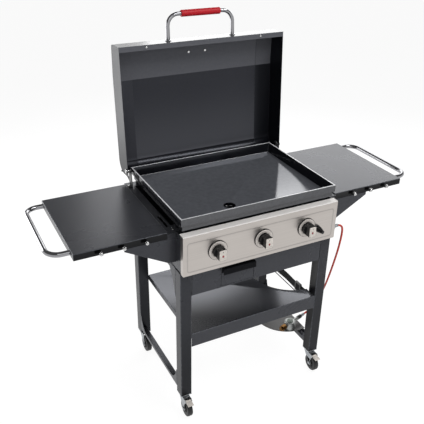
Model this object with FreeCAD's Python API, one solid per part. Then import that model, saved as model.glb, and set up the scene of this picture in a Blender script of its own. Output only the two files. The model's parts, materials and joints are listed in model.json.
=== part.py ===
import FreeCAD, Part

import math
import os

from FreeCAD import Vector

# A three-burner gas griddle on a four-caster cart, with its lid open and two side shelves.
# Millimetres, +X to the right, +Y to the back, +Z up. Heights are measured from the floor and
# depths from the middle of the cart's frame. On export every piece moves forward by
# depth_middle, which puts the origin on the floor under the middle of the whole object.
depth_middle = 9.0

# Clearances
running_gap = 0.05      # radial, a pin in its own hole
sliding_gap = 0.3       # between flat faces that slide or rest
loose_gap = 0.5         # beside a drawer or round a flap
cut_past = 1.0          # how far a cut runs past the face that it opens

# Sheet metal
sheet = 1.5
rail_sheet = 2.0

# Casters
wheel_diameter = 75.0
wheel_width = 22.0
wheel_edge_radius = 4.0
wheel_hub_diameter = 40.0
wheel_hub_recess = 3.0
caster_height = 100.0
caster_trail = 26.0
axle_diameter = 8.0
axle_boss_diameter = 20.0
axle_head_diameter = 13.0
axle_head_height = 4.0
fork_sheet = 2.5
fork_side_gap = 1.5
fork_crown_width = 40.0
fork_crown_drop = 12.5
kingpin_diameter = 10.0
kingpin_head_diameter = 17.0
kingpin_head_height = 3.5
race_diameter = 36.0
leg_plug_lip = 3.0
leg_plug_depth = 25.0
brake_pivot_forward = 12.0
brake_pivot_rise = 43.0
brake_pin_diameter = 5.0
brake_barrel_diameter = 8.0
brake_reach = 29.0
brake_drop = 2.0
brake_sheet = 3.0

# Cart frame
frame_width = 666.0
frame_depth = 490.0
leg_size = 46.0
leg_wall = 1.5
leg_length = 593.0
rail_flange = 20.0
top_rail_height = 18.0
top_rail_foot_drop = 105.0
top_rail_foot_run = 53.0
top_rail_foot_width = 4.0
top_rail_arch_rise = 8.0
bottom_rail_clearance = 24.0
bottom_rail_height = 13.0
bottom_rail_flange = 28.0
bottom_rail_lip = 20.0
bottom_rail_foot_rise = 66.0
bottom_rail_foot_run = 50.0
bottom_rail_foot_width = 6.0
bottom_rail_arch_drop = 10.0
apron_height = 107.0
apron_flange = 20.0
rear_rail_height = 53.0

# Lower shelf, gas bottle place and strap
lower_shelf_top = 405.0
lower_shelf_back_gap = 39.0
lower_shelf_front_lip = 62.0
lower_shelf_lip = 22.0
bottle_inset = 28.0
bottle_y = -4.0
bottle_notch_radius = 183.0
bottle_plate_radius = 140.0
bottle_plate_rise = 22.0
bottle_plate_tab = 24.0
bottle_plate_tab_spread = 90.0
strap_inset = 24.0
strap_middle_z = 350.0
strap_height = 38.0
strap_thickness = 2.5
strap_cord_diameter = 4.0
strap_cord_drop = 33.0
buckle_length = 42.0
buckle_height = 46.0
buckle_thickness = 9.0
buckle_y = -95.0

# Firebox
firebox_inset = 3.0
firebox_height = 157.0
firebox_front_setback = 50.0
firebox_ledge = 40.0
side_flange = 31.0
side_flange_front_setback = 32.0
slot_length = 90.0
slot_width = 10.0
slot_from_front = 97.0
slot_outset = 13.0

# Control panel and gas train
panel_end_lap = 0.5
panel_height = 163.0
panel_depth = 21.0
panel_radius = 5.0
panel_top_return = 25.0
knob_pitch = 192.0
knob_row_x = -2.0
knob_rise = 80.0
igniter_from_end = 88.5
igniter_rise = 64.0
manifold_from_panel = 12.0
manifold_rise = 43.0
manifold_diameter = 16.0
manifold_bore = 12.0
manifold_overhang = 24.0
inlet_nut_diameter = 20.0
inlet_nut_length = 6.0
inlet_nipple_length = 8.5
inlet_nipple_diameter = 11.0
hose_crimp_length = 8.0
hose_crimp_diameter = 13.0
valve_width = 24.0
valve_back_from_panel = 40.0
valve_top = 15.0
valve_boss_diameter = 20.0
valve_boss_from_panel = 4.0
valve_bore_depth = 16.0
spud_diameter = 10.0
spud_length = 14.0
burner_diameter = 28.0
burner_bore = 25.0
burner_from_panel = 48.0
burner_back_gap = 40.0
burner_cap = 2.0
burner_pin_diameter = 8.0
burner_port_length = 14.0
burner_port_width = 3.0
burner_port_pitch = 30.0
burner_port_count = 11
electrode_diameter = 7.0
electrode_rise = 23.0
electrode_length = 40.0
electrode_tip_diameter = 2.0
electrode_tip_length = 15.0

# Knobs and igniter button
bezel_diameter = 77.0
bezel_bore = 50.0
bezel_height = 6.0
bezel_chamfer = 2.5
stem_diameter = 8.0
stem_length = 40.0
stem_end_gap = 2.0
stem_hole_gap = 1.0
knob_push = 4.0
knob_standoff = 6.0
knob_diameter = 46.0
knob_base_height = 12.0
knob_wing_width = 30.0
knob_wing_length = 43.0
knob_wing_height = 25.0
knob_wing_radius = 4.0
igniter_collar_diameter = 26.0
igniter_collar_height = 3.0
igniter_body_diameter = 20.0
igniter_body_length = 41.0
button_diameter = 15.0
button_length = 25.0
button_push = 5.0
button_play = 1.0
button_ring_count = 4
button_ring_diameter = 24.0
button_ring_step = 3.4
button_ring_length = 8.0
button_groove_length = 2.0
button_groove_depth = 1.8

# Griddle plate and grease path
griddle_side_gap = 2.5
griddle_end_gap = 0.5
griddle_rim_height = 27.5
griddle_well = 38.0
griddle_well_draft = 9.0
griddle_wall = 5.0
griddle_base_inset = 8.0
griddle_base_height = 22.5
griddle_foot_height = 15.0
griddle_foot_diameter = 18.0
drain_x = -88.0
drain_from_heat_wall = 42.0
drain_diameter = 46.0
chute_diameter = 44.0
chute_wall = 1.5
chute_collar_diameter = 64.0
chute_top_gap = 3.0
chute_drop = 9.0
tray_x = -94.0
tray_width = 132.0
tray_length = 283.0
tray_height = 72.0
tray_sheet = 1.2
tray_rise = 14.0
tray_front_width = 139.0
tray_front_height = 86.0
tray_front_rise = 6.5
tray_front_gap = 2.0
tray_rail_length = 284.0
tray_rail_ledge = 12.0
tray_handle_height = 24.0
tray_handle_reach = 18.0
tray_handle_rise = 65.0

# Lid, its hinge and its handle
lid_side_overhang = 26.0
lid_front_overhang = 24.0
lid_height = 95.0
lid_front_height = 86.0
lid_fold = 121.0
lid_front_radius = 12.0
lid_rear_radius = 50.0
lid_sheet = 1.5
lid_lap = 75.0
lid_hem = 18.0
lid_open_angle = 93.5
pivot_setback = 28.0
pivot_rise = 65.0
pivot_above_rim = 11.0
pivot_from_rear = 22.0
hinge_pin_diameter = 10.0
hinge_pin_head_diameter = 18.0
hinge_pin_head_height = 5.0
bracket_sheet = 3.0
bracket_inset = 11.0
bracket_foot = 15.0
bracket_foot_ahead = 23.0
bracket_foot_behind = 7.0
bracket_lobe_radius = 14.0
bracket_arm_rise = 12.0
stop_pin_diameter = 8.0
stop_pin_angle = 30.0
handle_span = 280.0
handle_reach = 97.0
handle_tube = 16.0
handle_tube_bore = 13.0
handle_radius = 44.0
handle_rise = 43.0
handle_foot_diameter = 24.0
handle_foot_height = 3.0
grip_length = 168.0
grip_diameter = 26.0
badge_width = 100.0
badge_height = 34.0
badge_thickness = 2.0
badge_from_front = 58.0
badge_bolt_pitch = 73.0
badge_bolt_diameter = 5.0
badge_nut_diameter = 10.0
badge_nut_height = 6.0
rim_screw_from_lap = 32.5
rim_screw_diameter = 8.0
rim_screw_height = 2.5
rim_screw_inset = 7.0

# Side shelves, gussets, towel bars and hooks
shelf_rise = 4.0
shelf_length = 339.0
shelf_front_setback = 39.0
shelf_back_setback = 16.0
shelf_lip = 25.0
gusset_sheet = 2.0
gusset_reach = 193.0
gusset_nose = 38.0
gusset_foot = 129.0
gusset_foot_width = 28.0
bar_tube = 19.0
bar_tube_bore = 16.6
bar_reach = 73.0
bar_radius = 48.0
bar_front_inset = 40.0
bar_back_inset = 27.0
bar_drop = 12.5
hook_wire = 5.0
hook_first_reach = 85.0
hook_pitch = 82.0
hook_count = 3
hook_drop = 18.0
hook_reach = 20.0
hook_rise = 8.0
hook_radius = 5.0
hook_ball_diameter = 15.0
screw_head_diameter = 9.0
screw_head_height = 3.0
flange_screw_from_front = 28.0

# Gas hose and regulator
hose_diameter = 8.5
hose_corner_share = 0.45
hose_points = [
    (345.0, -254.0, 736.0),
    (360.0, -254.0, 736.0),
    (373.0, -254.0, 728.5),
    (380.5, -254.0, 715.5),
    (381.5, -253.5, 688.0),
    (381.0, -250.0, 650.0),
    (382.0, -239.0, 590.0),
    (386.0, -212.0, 490.0),
    (401.4, -172.8, 394.9),
    (414.8, -138.1, 326.6),
    (426.3, -106.8, 273.2),
    (434.2, -84.9, 228.9),
    (425.2, -75.0, 199.9),
    (407.3, -72.0, 179.9),
    (385.6, -74.5, 170.0),
    (366.5, -80.5, 170.0),
]
regulator_diameter = 50.0
regulator_height = 38.0
regulator_edge_radius = 5.0
regulator_cap_diameter = 28.0
regulator_cap_height = 4.0
regulator_stub_diameter = 16.0
regulator_stub_length = 8.0
ferrule_diameter = 13.0
ferrule_length = 22.0
sleeve_diameter = 17.0
sleeve_length = 27.0
outlet_diameter = 14.0
outlet_length = 27.0
regulator_nut_across = 24.0
regulator_nut_length = 22.0
regulator_inlet_diameter = 16.0
regulator_inlet_length = 9.0

# Places that several pieces share
half_frame_x = frame_width / 2
half_frame_y = frame_depth / 2
leg_x = half_frame_x - leg_size / 2
leg_y = half_frame_y - leg_size / 2
leg_bottom = caster_height
leg_top = leg_bottom + leg_length
inner_leg_x = half_frame_x - leg_size
inner_leg_y = half_frame_y - leg_size
rail_x = half_frame_x
firebox_x = half_frame_x - firebox_inset
firebox_floor = leg_top
firebox_top = firebox_floor + firebox_height
heat_wall_y = -half_frame_y + firebox_front_setback
flange_x = firebox_x + side_flange
flange_front_y = -half_frame_y + side_flange_front_setback
flange_screw_y = flange_front_y + flange_screw_from_front
slot_y = flange_front_y + slot_from_front
panel_front_y = -half_frame_y - panel_depth
half_panel_x = firebox_x + panel_end_lap
igniter_x = half_panel_x - igniter_from_end
panel_top = firebox_floor + panel_height
panel_inside_y = panel_front_y + sheet
knob_xs = [knob_row_x + step * knob_pitch for step in (-1, 0, 1)]
knob_z = firebox_floor + knob_rise
manifold_y = panel_front_y + manifold_from_panel
manifold_z = firebox_floor + manifold_rise
valve_boss_front_y = panel_front_y + valve_boss_from_panel
valve_back_y = panel_front_y + valve_back_from_panel
burner_front_y = panel_front_y + burner_from_panel
burner_back_y = half_frame_y - burner_back_gap
half_griddle_x = firebox_x - griddle_side_gap
half_griddle_y = half_frame_y - griddle_end_gap
drain_y = heat_wall_y + drain_from_heat_wall
griddle_base = firebox_top + griddle_foot_height
griddle_rim_low = griddle_base + griddle_base_height
griddle_rim_top = griddle_rim_low + griddle_rim_height
griddle_surface = griddle_rim_top - griddle_well
griddle_foot_x = firebox_x - sheet - firebox_ledge / 2
griddle_foot_ys = (heat_wall_y + firebox_ledge / 2, half_frame_y - sheet - firebox_ledge / 2)
apron_bottom = leg_top - apron_height
bottom_rail_low = leg_bottom + bottom_rail_clearance
lower_shelf_back_y = half_frame_y - lower_shelf_back_gap
bottle_x = half_frame_x - bottle_inset
bottle_plate_top = bottom_rail_low + bottle_plate_rise
strap_x = half_frame_x - strap_inset
pivot_y = half_frame_y - pivot_setback
pivot_z = firebox_top + pivot_rise
lid_rim = pivot_z - pivot_above_rim
lid_back_y = pivot_y + pivot_from_rear
lid_front_y = -half_frame_y - lid_front_overhang
lid_x = firebox_x + lid_side_overhang
lid_inner_x = lid_x - lid_sheet
rim_screw_x = lid_inner_x - lid_lap - rim_screw_from_lap
bracket_x = firebox_x + bracket_inset
bracket_foot_front_y = pivot_y - bracket_foot_ahead
bracket_foot_back_y = pivot_y + bracket_foot_behind
shelf_top = firebox_top + shelf_rise
shelf_front_y = -half_frame_y + shelf_front_setback
shelf_back_y = half_frame_y - shelf_back_setback
bar_front_y = shelf_front_y + bar_front_inset
bar_back_y = shelf_back_y - bar_back_inset
hook_first_x = flange_x + hook_first_reach
fork_half_gap = wheel_width / 2 + fork_side_gap
wheel_radius = wheel_diameter / 2
fork_crown_top = caster_height - fork_crown_drop
hose_end = Vector(*hose_points[-1])
hose_heading = (hose_end - Vector(*hose_points[-2])).normalize()
x_axis = Vector(1, 0, 0)
y_axis = Vector(0, 1, 0)
z_axis = Vector(0, 0, 1)


def block(x0, x1, y0, y1, z0, z1):
    """A box between two corners, given in any order."""
    low = Vector(min(x0, x1), min(y0, y1), min(z0, z1))
    return Part.makeBox(abs(x1 - x0), abs(y1 - y0), abs(z1 - z0), low)


def rod(diameter, start, end):
    """A round bar from one point to another."""
    return Part.makeCylinder(diameter / 2, (end - start).Length, start, end - start)


def width_bar(diameter, x0, x1, y, z):
    """A round bar across the object."""
    return rod(diameter, Vector(x0, y, z), Vector(x1, y, z))


def depth_bar(diameter, x, y0, y1, z):
    """A round bar from front to back."""
    return rod(diameter, Vector(x, y0, z), Vector(x, y1, z))


def upright_bar(diameter, x, y, z0, z1):
    """A round bar that stands upright."""
    return rod(diameter, Vector(x, y, z0), Vector(x, y, z1))


def join(*shapes):
    """Several touching solids as one clean solid."""
    return shapes[0].multiFuse(list(shapes[1:])).removeSplitter()


def mirrored(shape):
    """The same piece on the other side of the object."""
    return shape.mirror(Vector(0, 0, 0), x_axis)


def arc_step(centre, radius, start_angle, end_angle):
    """The middle and end points of an arc about a centre, angles in degrees."""
    points = []
    for angle in ((start_angle + end_angle) / 2, end_angle):
        turn = math.radians(angle)
        points.append((centre[0] + radius * math.cos(turn), centre[1] + radius * math.sin(turn)))
    return tuple(points)


def slab(steps, place, depth):
    """A flat outline made solid. A step that is a pair of points is an arc through the first one."""
    edges = []
    here = steps[0]
    for step in steps[1:] + [steps[0]]:
        is_arc = isinstance(step[0], tuple)
        there = step[1] if is_arc else step
        if is_arc:
            edges.append(Part.Arc(place(*here), place(*step[0]), place(*there)).toShape())
        elif math.dist(here, there) > 1e-6:
            edges.append(Part.makeLine(place(*here), place(*there)))
        here = there
    return Part.Face(Part.Wire(edges)).extrude(depth)


def side_slab(steps, x0, x1):
    """An outline in depth and height, made solid from one X to another."""
    return slab(steps, lambda y, z: Vector(x0, y, z), Vector(x1 - x0, 0, 0))


def front_slab(steps, y0, y1):
    """An outline in width and height, made solid from one Y to another."""
    return slab(steps, lambda x, z: Vector(x, y0, z), Vector(0, y1 - y0, 0))


def rounded_route(points, radii):
    """A wire of straight runs joined by tangent arcs, one radius for each inner point."""
    edges = []
    here = points[0]
    for before, corner, after, radius in zip(points, points[1:], points[2:], radii):
        way_in = (corner - before).normalize()
        way_out = (after - corner).normalize()
        half_turn = way_in.getAngle(way_out) / 2
        setback = radius * math.tan(half_turn)
        inward = (way_out - way_in).normalize()
        start = corner - way_in * setback
        end = corner + way_out * setback
        middle = corner + inward * (radius / math.cos(half_turn) - radius)
        edges.append(Part.makeLine(here, start))
        edges.append(Part.Arc(start, middle, end).toShape())
        here = end
    edges.append(Part.makeLine(here, points[-1]))
    return Part.Wire(edges)


def bar_along(points, radii, diameter):
    """A round bar bent along a route."""
    circle = Part.Wire(Part.makeCircle(diameter / 2, points[0], points[1] - points[0]))
    return rounded_route(points, radii).makePipeShell([circle], True, False)


def bent_tube(points, radius, diameter, bore):
    """A bent tube with one bend radius and an open bore."""
    radii = [radius] * (len(points) - 2)
    return bar_along(points, radii, diameter).cut(bar_along(points, radii, bore))


def save(node, *solids):
    """Writes one named piece, moved so that the origin is under the object's middle."""
    shape = solids[0] if len(solids) == 1 else Part.makeCompound(list(solids))
    shape = shape.copy()
    shape.translate(Vector(0, -depth_middle, 0))
    shape.exportStep("parts/" + node + ".step")


def leg(x, y):
    """A square tube from its caster to the firebox floor."""
    half = leg_size / 2
    hollow = half - leg_wall
    outside = block(x - half, x + half, y - half, y + half, leg_bottom, leg_top)
    return outside.cut(block(x - hollow, x + hollow, y - hollow, y + hollow, leg_bottom, leg_top))


def top_side_rail():
    """The right-hand top rail: a folded plate with an arched foot at each leg."""
    low = leg_top - top_rail_height
    foot_low = low - top_rail_foot_drop
    foot_y = inner_leg_y - top_rail_foot_width
    run_y = inner_leg_y - top_rail_foot_run
    arch_y = (foot_y + run_y) / 2 + top_rail_arch_rise / 2
    arch_z = (foot_low + low) / 2 + top_rail_arch_rise
    web = side_slab([
        (-inner_leg_y, leg_top),
        (-inner_leg_y, foot_low),
        (-foot_y, foot_low),
        ((-arch_y, arch_z), (-run_y, low)),
        (run_y, low),
        ((arch_y, arch_z), (foot_y, foot_low)),
        (inner_leg_y, foot_low),
        (inner_leg_y, leg_top),
    ], rail_x - rail_sheet, rail_x)
    flange = block(rail_x - rail_flange, rail_x, -inner_leg_y, inner_leg_y, leg_top - rail_sheet, leg_top)
    return join(web, flange)


def bottom_side_rail():
    """The right-hand bottom rail: a stepped section whose upright wall arches up both legs."""
    low = bottom_rail_low
    high = low + bottom_rail_height
    foot_high = high + bottom_rail_foot_rise
    foot_y = inner_leg_y - bottom_rail_foot_width
    run_y = inner_leg_y - bottom_rail_foot_run
    arch_y = (foot_y + run_y) / 2 + bottom_rail_arch_drop / 2
    arch_z = (foot_high + high) / 2 - bottom_rail_arch_drop
    web = side_slab([
        (-inner_leg_y, low),
        (inner_leg_y, low),
        (inner_leg_y, foot_high),
        (foot_y, foot_high),
        ((arch_y, arch_z), (run_y, high)),
        (-run_y, high),
        ((-arch_y, arch_z), (-foot_y, foot_high)),
        (-inner_leg_y, foot_high),
    ], rail_x - rail_sheet, rail_x)
    inner_x = rail_x - bottom_rail_flange
    flange = block(inner_x, rail_x, -inner_leg_y, inner_leg_y, low, low + rail_sheet)
    lip = block(
        inner_x, inner_x + rail_sheet, -inner_leg_y, inner_leg_y,
        low + rail_sheet - bottom_rail_lip, low + rail_sheet,
    )
    return join(web, flange, lip)


def front_apron():
    """The folded front cross panel between the legs, with the grease tray's opening."""
    front = -half_frame_y
    back = front + sheet + apron_flange
    face = block(-inner_leg_x, inner_leg_x, front, front + sheet, apron_bottom, leg_top)
    upper = block(-inner_leg_x, inner_leg_x, front, back, leg_top - sheet, leg_top)
    lower = block(-inner_leg_x, inner_leg_x, front, back, apron_bottom, apron_bottom + sheet)
    half_opening = tray_front_width / 2 + tray_front_gap
    low = apron_bottom + tray_front_rise - tray_front_gap
    high = apron_bottom + tray_front_rise + tray_front_height + tray_front_gap
    opening = block(
        tray_x - half_opening, tray_x + half_opening, front - cut_past, front + 2 * sheet, low, high,
    )
    return join(face, upper, lower).cut(opening)


def rear_rail():
    """The folded rear cross panel between the legs."""
    back = half_frame_y
    low = leg_top - rear_rail_height
    face = block(-inner_leg_x, inner_leg_x, back - sheet, back, low, leg_top)
    upper = block(-inner_leg_x, inner_leg_x, back - sheet - apron_flange, back, leg_top - sheet, leg_top)
    return join(face, upper)


def lower_shelf():
    """The storage shelf: a folded tray turned down at its edges, notched for the gas bottle."""
    front = -half_frame_y
    back = lower_shelf_back_y
    x = inner_leg_x
    top = lower_shelf_top
    plate = block(-x, x, front, back, top - sheet, top)
    front_lip = block(-x, x, front, front + sheet, top - lower_shelf_front_lip, top)
    back_lip = block(-x, x, back - sheet, back, top - lower_shelf_lip, top)
    left_lip = block(-x, -x + sheet, front, back, top - lower_shelf_lip, top)
    right_lip = block(x - sheet, x, front, back, top - lower_shelf_lip, top)
    notch_base = Vector(bottle_x, bottle_y, top - lower_shelf_front_lip)
    notch = Part.makeCylinder(bottle_notch_radius, lower_shelf_front_lip + cut_past, notch_base)
    return join(plate, front_lip, back_lip, left_lip, right_lip).cut(notch)


def bottle_plate():
    """The gas bottle's foot plate: a disc cut off in line with the right legs, on two bent tabs."""
    top = bottle_plate_top
    low = top - rail_sheet
    disc = Part.makeCylinder(bottle_plate_radius, rail_sheet, Vector(bottle_x, bottle_y, low))
    reach = 2 * bottle_plate_radius
    beyond = block(
        rail_x, rail_x + reach, bottle_y - reach, bottle_y + reach, low - cut_past, top + cut_past,
    )
    tab_x = rail_x - bottom_rail_flange
    tab_z = bottom_rail_low + rail_sheet
    pieces = [disc.cut(beyond)]
    for side in (-1, 1):
        middle = bottle_y + side * bottle_plate_tab_spread
        front = middle - bottle_plate_tab / 2
        back = middle + bottle_plate_tab / 2
        pieces.append(block(tab_x, tab_x + rail_sheet, front, back, tab_z, low))
        pieces.append(block(tab_x, rail_x - 2 * rail_sheet, front, back, tab_z, tab_z + rail_sheet))
    return join(*pieces)


def bottle_strap():
    """The bottle strap: a flat band with a buckle, and an elastic cord under it."""
    half = strap_thickness / 2
    low = strap_middle_z - strap_height / 2
    high = strap_middle_z + strap_height / 2
    band = block(strap_x - half, strap_x + half, -inner_leg_y, inner_leg_y, low, high)
    buckle = block(
        strap_x - buckle_thickness / 2, strap_x + buckle_thickness / 2,
        buckle_y - buckle_length / 2, buckle_y + buckle_length / 2,
        strap_middle_z - buckle_height / 2, strap_middle_z + buckle_height / 2,
    ).cut(band)
    cord_z = strap_middle_z - strap_cord_drop
    cord = depth_bar(strap_cord_diameter, strap_x, -inner_leg_y, inner_leg_y, cord_z)
    return [band, buckle, cord]


def caster_stem(x, y):
    """The fixed half of a caster: a plug in the leg, its lip, the ball race and the kingpin."""
    hollow = leg_size / 2 - leg_wall
    half = leg_size / 2
    lip_low = leg_bottom - leg_plug_lip
    race_low = fork_crown_top + sliding_gap
    pin_low = fork_crown_top - fork_sheet - sliding_gap
    plug = block(x - hollow, x + hollow, y - hollow, y + hollow, leg_bottom, leg_bottom + leg_plug_depth)
    lip = block(x - half, x + half, y - half, y + half, lip_low, leg_bottom)
    race = upright_bar(race_diameter, x, y, race_low, lip_low)
    pin = upright_bar(kingpin_diameter, x, y, pin_low, race_low)
    head = upright_bar(kingpin_head_diameter, x, y, pin_low - kingpin_head_height, pin_low)
    return join(plug, lip, race, pin, head)


def caster_fork(x, y, with_brake):
    """The swivelling fork and the axle bolt through it."""
    wheel_y = y - caster_trail
    crown_low = fork_crown_top - fork_sheet
    outer = fork_half_gap + fork_sheet
    half_crown = fork_crown_width / 2
    crown = block(x - outer, x + outer, y - half_crown, y + half_crown, crown_low, fork_crown_top)
    king_hole = upright_bar(kingpin_diameter + 2 * running_gap, x, y, crown_low - cut_past, caster_height)
    fork = crown
    brake_y = wheel_y - brake_pivot_forward
    brake_z = wheel_radius + brake_pivot_rise
    for side in (-1, 1):
        inside = x + side * fork_half_gap
        outside = x + side * outer
        axle_boss = width_bar(axle_boss_diameter, inside, outside, wheel_y, wheel_radius)
        cheek = side_slab([
            (y + half_crown, fork_crown_top),
            (y - half_crown, fork_crown_top),
            (wheel_y - axle_boss_diameter / 2, wheel_radius),
            (wheel_y + axle_boss_diameter / 2, wheel_radius),
        ], inside, outside)
        fork = join(fork, cheek, axle_boss)
        if with_brake:
            arm = side_slab([
                (wheel_y, wheel_radius + axle_diameter),
                (y, fork_crown_top - fork_sheet),
                (brake_y, brake_z + brake_barrel_diameter),
                (brake_y - brake_barrel_diameter, brake_z),
                (brake_y, brake_z - brake_barrel_diameter),
            ], inside, outside)
            pivot = Vector(inside - side, brake_y, brake_z)
            hole = rod(brake_pin_diameter + 2 * running_gap, pivot, pivot + x_axis * side * 2 * fork_sheet)
            fork = join(fork, arm).cut(hole)
    end = outer + axle_head_height
    axle = width_bar(axle_diameter, x - outer, x + outer, wheel_y, wheel_radius)
    heads = [
        width_bar(axle_head_diameter, x + side * outer, x + side * end, wheel_y, wheel_radius)
        for side in (-1, 1)
    ]
    return [fork.cut(king_hole).cut(axle), join(axle, *heads)]


def caster_wheel(x, y):
    """A wheel with rounded edges, dished hubs and a running bore."""
    wheel_y = y - caster_trail
    half = wheel_width / 2
    left = Vector(x - half, wheel_y, wheel_radius)
    right = Vector(x + half, wheel_y, wheel_radius)
    tyre = rod(wheel_diameter, left, right)
    rims = [edge for edge in tyre.Edges if edge.Length > 2 * wheel_diameter]
    tyre = tyre.makeFillet(wheel_edge_radius, rims)
    recess = x_axis * wheel_hub_recess
    dishes = [rod(wheel_hub_diameter, left, left + recess), rod(wheel_hub_diameter, right - recess, right)]
    hub = rod(axle_boss_diameter, left, right)
    bore = rod(axle_diameter + 2 * running_gap, left, right)
    return join(tyre.cut(dishes[0]).cut(dishes[1]), hub).cut(bore)


def caster_brake(x, y):
    """The brake pedal: a barrel on two pins between the fork's cheeks, with a bent pedal."""
    pivot_forward = y - caster_trail - brake_pivot_forward
    pivot_up = wheel_radius + brake_pivot_rise
    half = fork_half_gap - sliding_gap
    reach = fork_half_gap + fork_sheet
    barrel = width_bar(brake_barrel_diameter, x - half, x + half, pivot_forward, pivot_up)
    pin = width_bar(brake_pin_diameter, x - reach, x + reach, pivot_forward, pivot_up)
    tip_y = pivot_forward - brake_reach
    tip_z = pivot_up - brake_drop
    knee_y = pivot_forward - brake_reach / 2
    pedal = side_slab([
        (pivot_forward, pivot_up + brake_sheet / 2),
        (pivot_forward, pivot_up - brake_sheet / 2),
        (knee_y, pivot_up - brake_sheet / 2),
        (tip_y, tip_z - brake_sheet / 2),
        (tip_y, tip_z + brake_sheet / 2),
        (knee_y, pivot_up + brake_sheet / 2),
    ], x - half, x + half)
    return join(barrel, pin, pedal)


def firebox():
    """The open-topped sheet box under the griddle, with slotted side flanges and corner ledges."""
    y = half_frame_y
    low = firebox_floor
    top = firebox_top
    inside = firebox_x - sheet
    pieces = [block(-firebox_x, firebox_x, -y, y, low, low + sheet)]
    pieces.append(block(-firebox_x, firebox_x, y - sheet, y, low, top))
    pieces.append(block(-inside, inside, heat_wall_y - sheet, heat_wall_y, low, top))
    cuts = []
    for side in (-1, 1):
        pieces.append(block(side * inside, side * firebox_x, -y, y, low, top))
        pieces.append(block(side * inside, side * flange_x, flange_front_y, y, top - sheet, top))
        ledge_x = side * (inside - firebox_ledge)
        for ledge_y in (heat_wall_y, y - sheet - firebox_ledge):
            pieces.append(block(
                ledge_x, side * inside, ledge_y, ledge_y + firebox_ledge, top - sheet, top,
            ))
        slot_x = side * (firebox_x + slot_outset)
        cuts.append(block(
            slot_x - slot_width / 2, slot_x + slot_width / 2,
            slot_y - slot_length / 2, slot_y + slot_length / 2, top - 2 * sheet, top + cut_past,
        ))
    cuts.append(upright_bar(chute_diameter, drain_x, drain_y, low - cut_past, low + 2 * sheet))
    for x in knob_xs:
        electrode_z = knob_z + electrode_rise
        front = heat_wall_y - 2 * sheet
        cuts.append(depth_bar(burner_diameter, x, front, heat_wall_y + sheet, knob_z))
        cuts.append(depth_bar(electrode_diameter, x, front, heat_wall_y + sheet, electrode_z))
        cuts.append(depth_bar(burner_pin_diameter, x, y - 2 * sheet, y + cut_past, knob_z))
    return join(*pieces).cut(Part.makeCompound(cuts))


def panel_section(inset, back_y):
    """The control panel's outline in depth and height, drawn in from its outside by an inset."""
    front = panel_front_y + inset
    top = panel_top - inset
    centre = (panel_front_y + panel_radius, panel_top - panel_radius)
    return [
        (back_y, firebox_floor + inset),
        (front, firebox_floor + inset),
        (front, centre[1]),
        arc_step(centre, panel_radius - inset, 180, 90),
        (back_y, top),
    ]


def control_panel():
    """The folded stainless front panel with a folded top edge and closed ends."""
    half = half_panel_x
    back = -half_frame_y
    roof_back = panel_front_y + panel_radius + panel_top_return
    outside = side_slab(panel_section(0, back), -half, half)
    inside = side_slab(panel_section(sheet, back + cut_past), -half + sheet, half - sheet)
    roof = block(-half, half, back, roof_back, panel_top - sheet, panel_top)
    panel = join(outside.cut(inside), roof)
    cuts = []
    hole_front = panel_front_y - cut_past
    hole_back = panel_inside_y + cut_past
    for x in knob_xs:
        cuts.append(depth_bar(stem_diameter + 2 * stem_hole_gap, x, hole_front, hole_back, knob_z))
    igniter_z = firebox_floor + igniter_rise
    cuts.append(depth_bar(igniter_body_diameter, igniter_x, hole_front, hole_back, igniter_z))
    end = Vector(half - 2 * sheet, manifold_y, manifold_z)
    cuts.append(rod(manifold_diameter, end, end + x_axis * 4 * sheet))
    return panel.cut(Part.makeCompound(cuts))


def gas_manifold():
    """The gas pipe behind the panel, with the inlet nut and hose nipple outside its right end."""
    half = half_panel_x
    left = Vector(knob_xs[0] - manifold_overhang, manifold_y, manifold_z)
    right = Vector(half, manifold_y, manifold_z)
    nut_end = right + x_axis * inlet_nut_length
    nipple_end = nut_end + x_axis * inlet_nipple_length
    pipe = rod(manifold_diameter, left, right)
    nut = rod(inlet_nut_diameter, right, nut_end)
    crimp_end = nipple_end + x_axis * hose_crimp_length
    nipple = rod(inlet_nipple_diameter, nut_end, nipple_end)
    crimp = rod(hose_crimp_diameter, nipple_end, crimp_end).cut(rod(hose_diameter, nipple_end, crimp_end))
    bore = rod(manifold_bore, left + x_axis * sheet, right)
    return join(pipe, nut, nipple, crimp).cut(bore)


def gas_valve(x):
    """A valve body saddled on the gas pipe, with its stem boss and its orifice."""
    half = valve_width / 2
    low = manifold_z - manifold_diameter / 2
    body = block(x - half, x + half, manifold_y, valve_back_y, low, knob_z + valve_top)
    boss = depth_bar(valve_boss_diameter, x, valve_boss_front_y, manifold_y, knob_z)
    spud = depth_bar(spud_diameter, x, valve_back_y, valve_back_y + spud_length, knob_z)
    front = Vector(x, valve_boss_front_y, knob_z)
    bore = rod(stem_diameter + 2 * running_gap, front, front + y_axis * valve_bore_depth)
    pipe = width_bar(manifold_diameter, x - valve_width, x + valve_width, manifold_y, manifold_z)
    return join(body, boss, spud).cut(bore).cut(pipe)


def burner(x):
    """A burner tube with a row of flame ports, a closed back end and a locating pin."""
    front = Vector(x, burner_front_y, knob_z)
    back = Vector(x, burner_back_y, knob_z)
    tube = rod(burner_diameter, front, back)
    bore = rod(burner_bore, front, back - y_axis * burner_cap)
    pin = rod(burner_pin_diameter, back, Vector(x, half_frame_y, knob_z))
    middle_y = (heat_wall_y + burner_back_y) / 2
    ports = []
    for index in range(burner_port_count):
        port_y = middle_y + (index - (burner_port_count - 1) / 2) * burner_port_pitch
        ports.append(block(
            x - burner_port_length / 2, x + burner_port_length / 2,
            port_y - burner_port_width / 2, port_y + burner_port_width / 2,
            knob_z, knob_z + burner_diameter,
        ))
    return join(tube, pin).cut(bore).cut(Part.makeCompound(ports))


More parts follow.
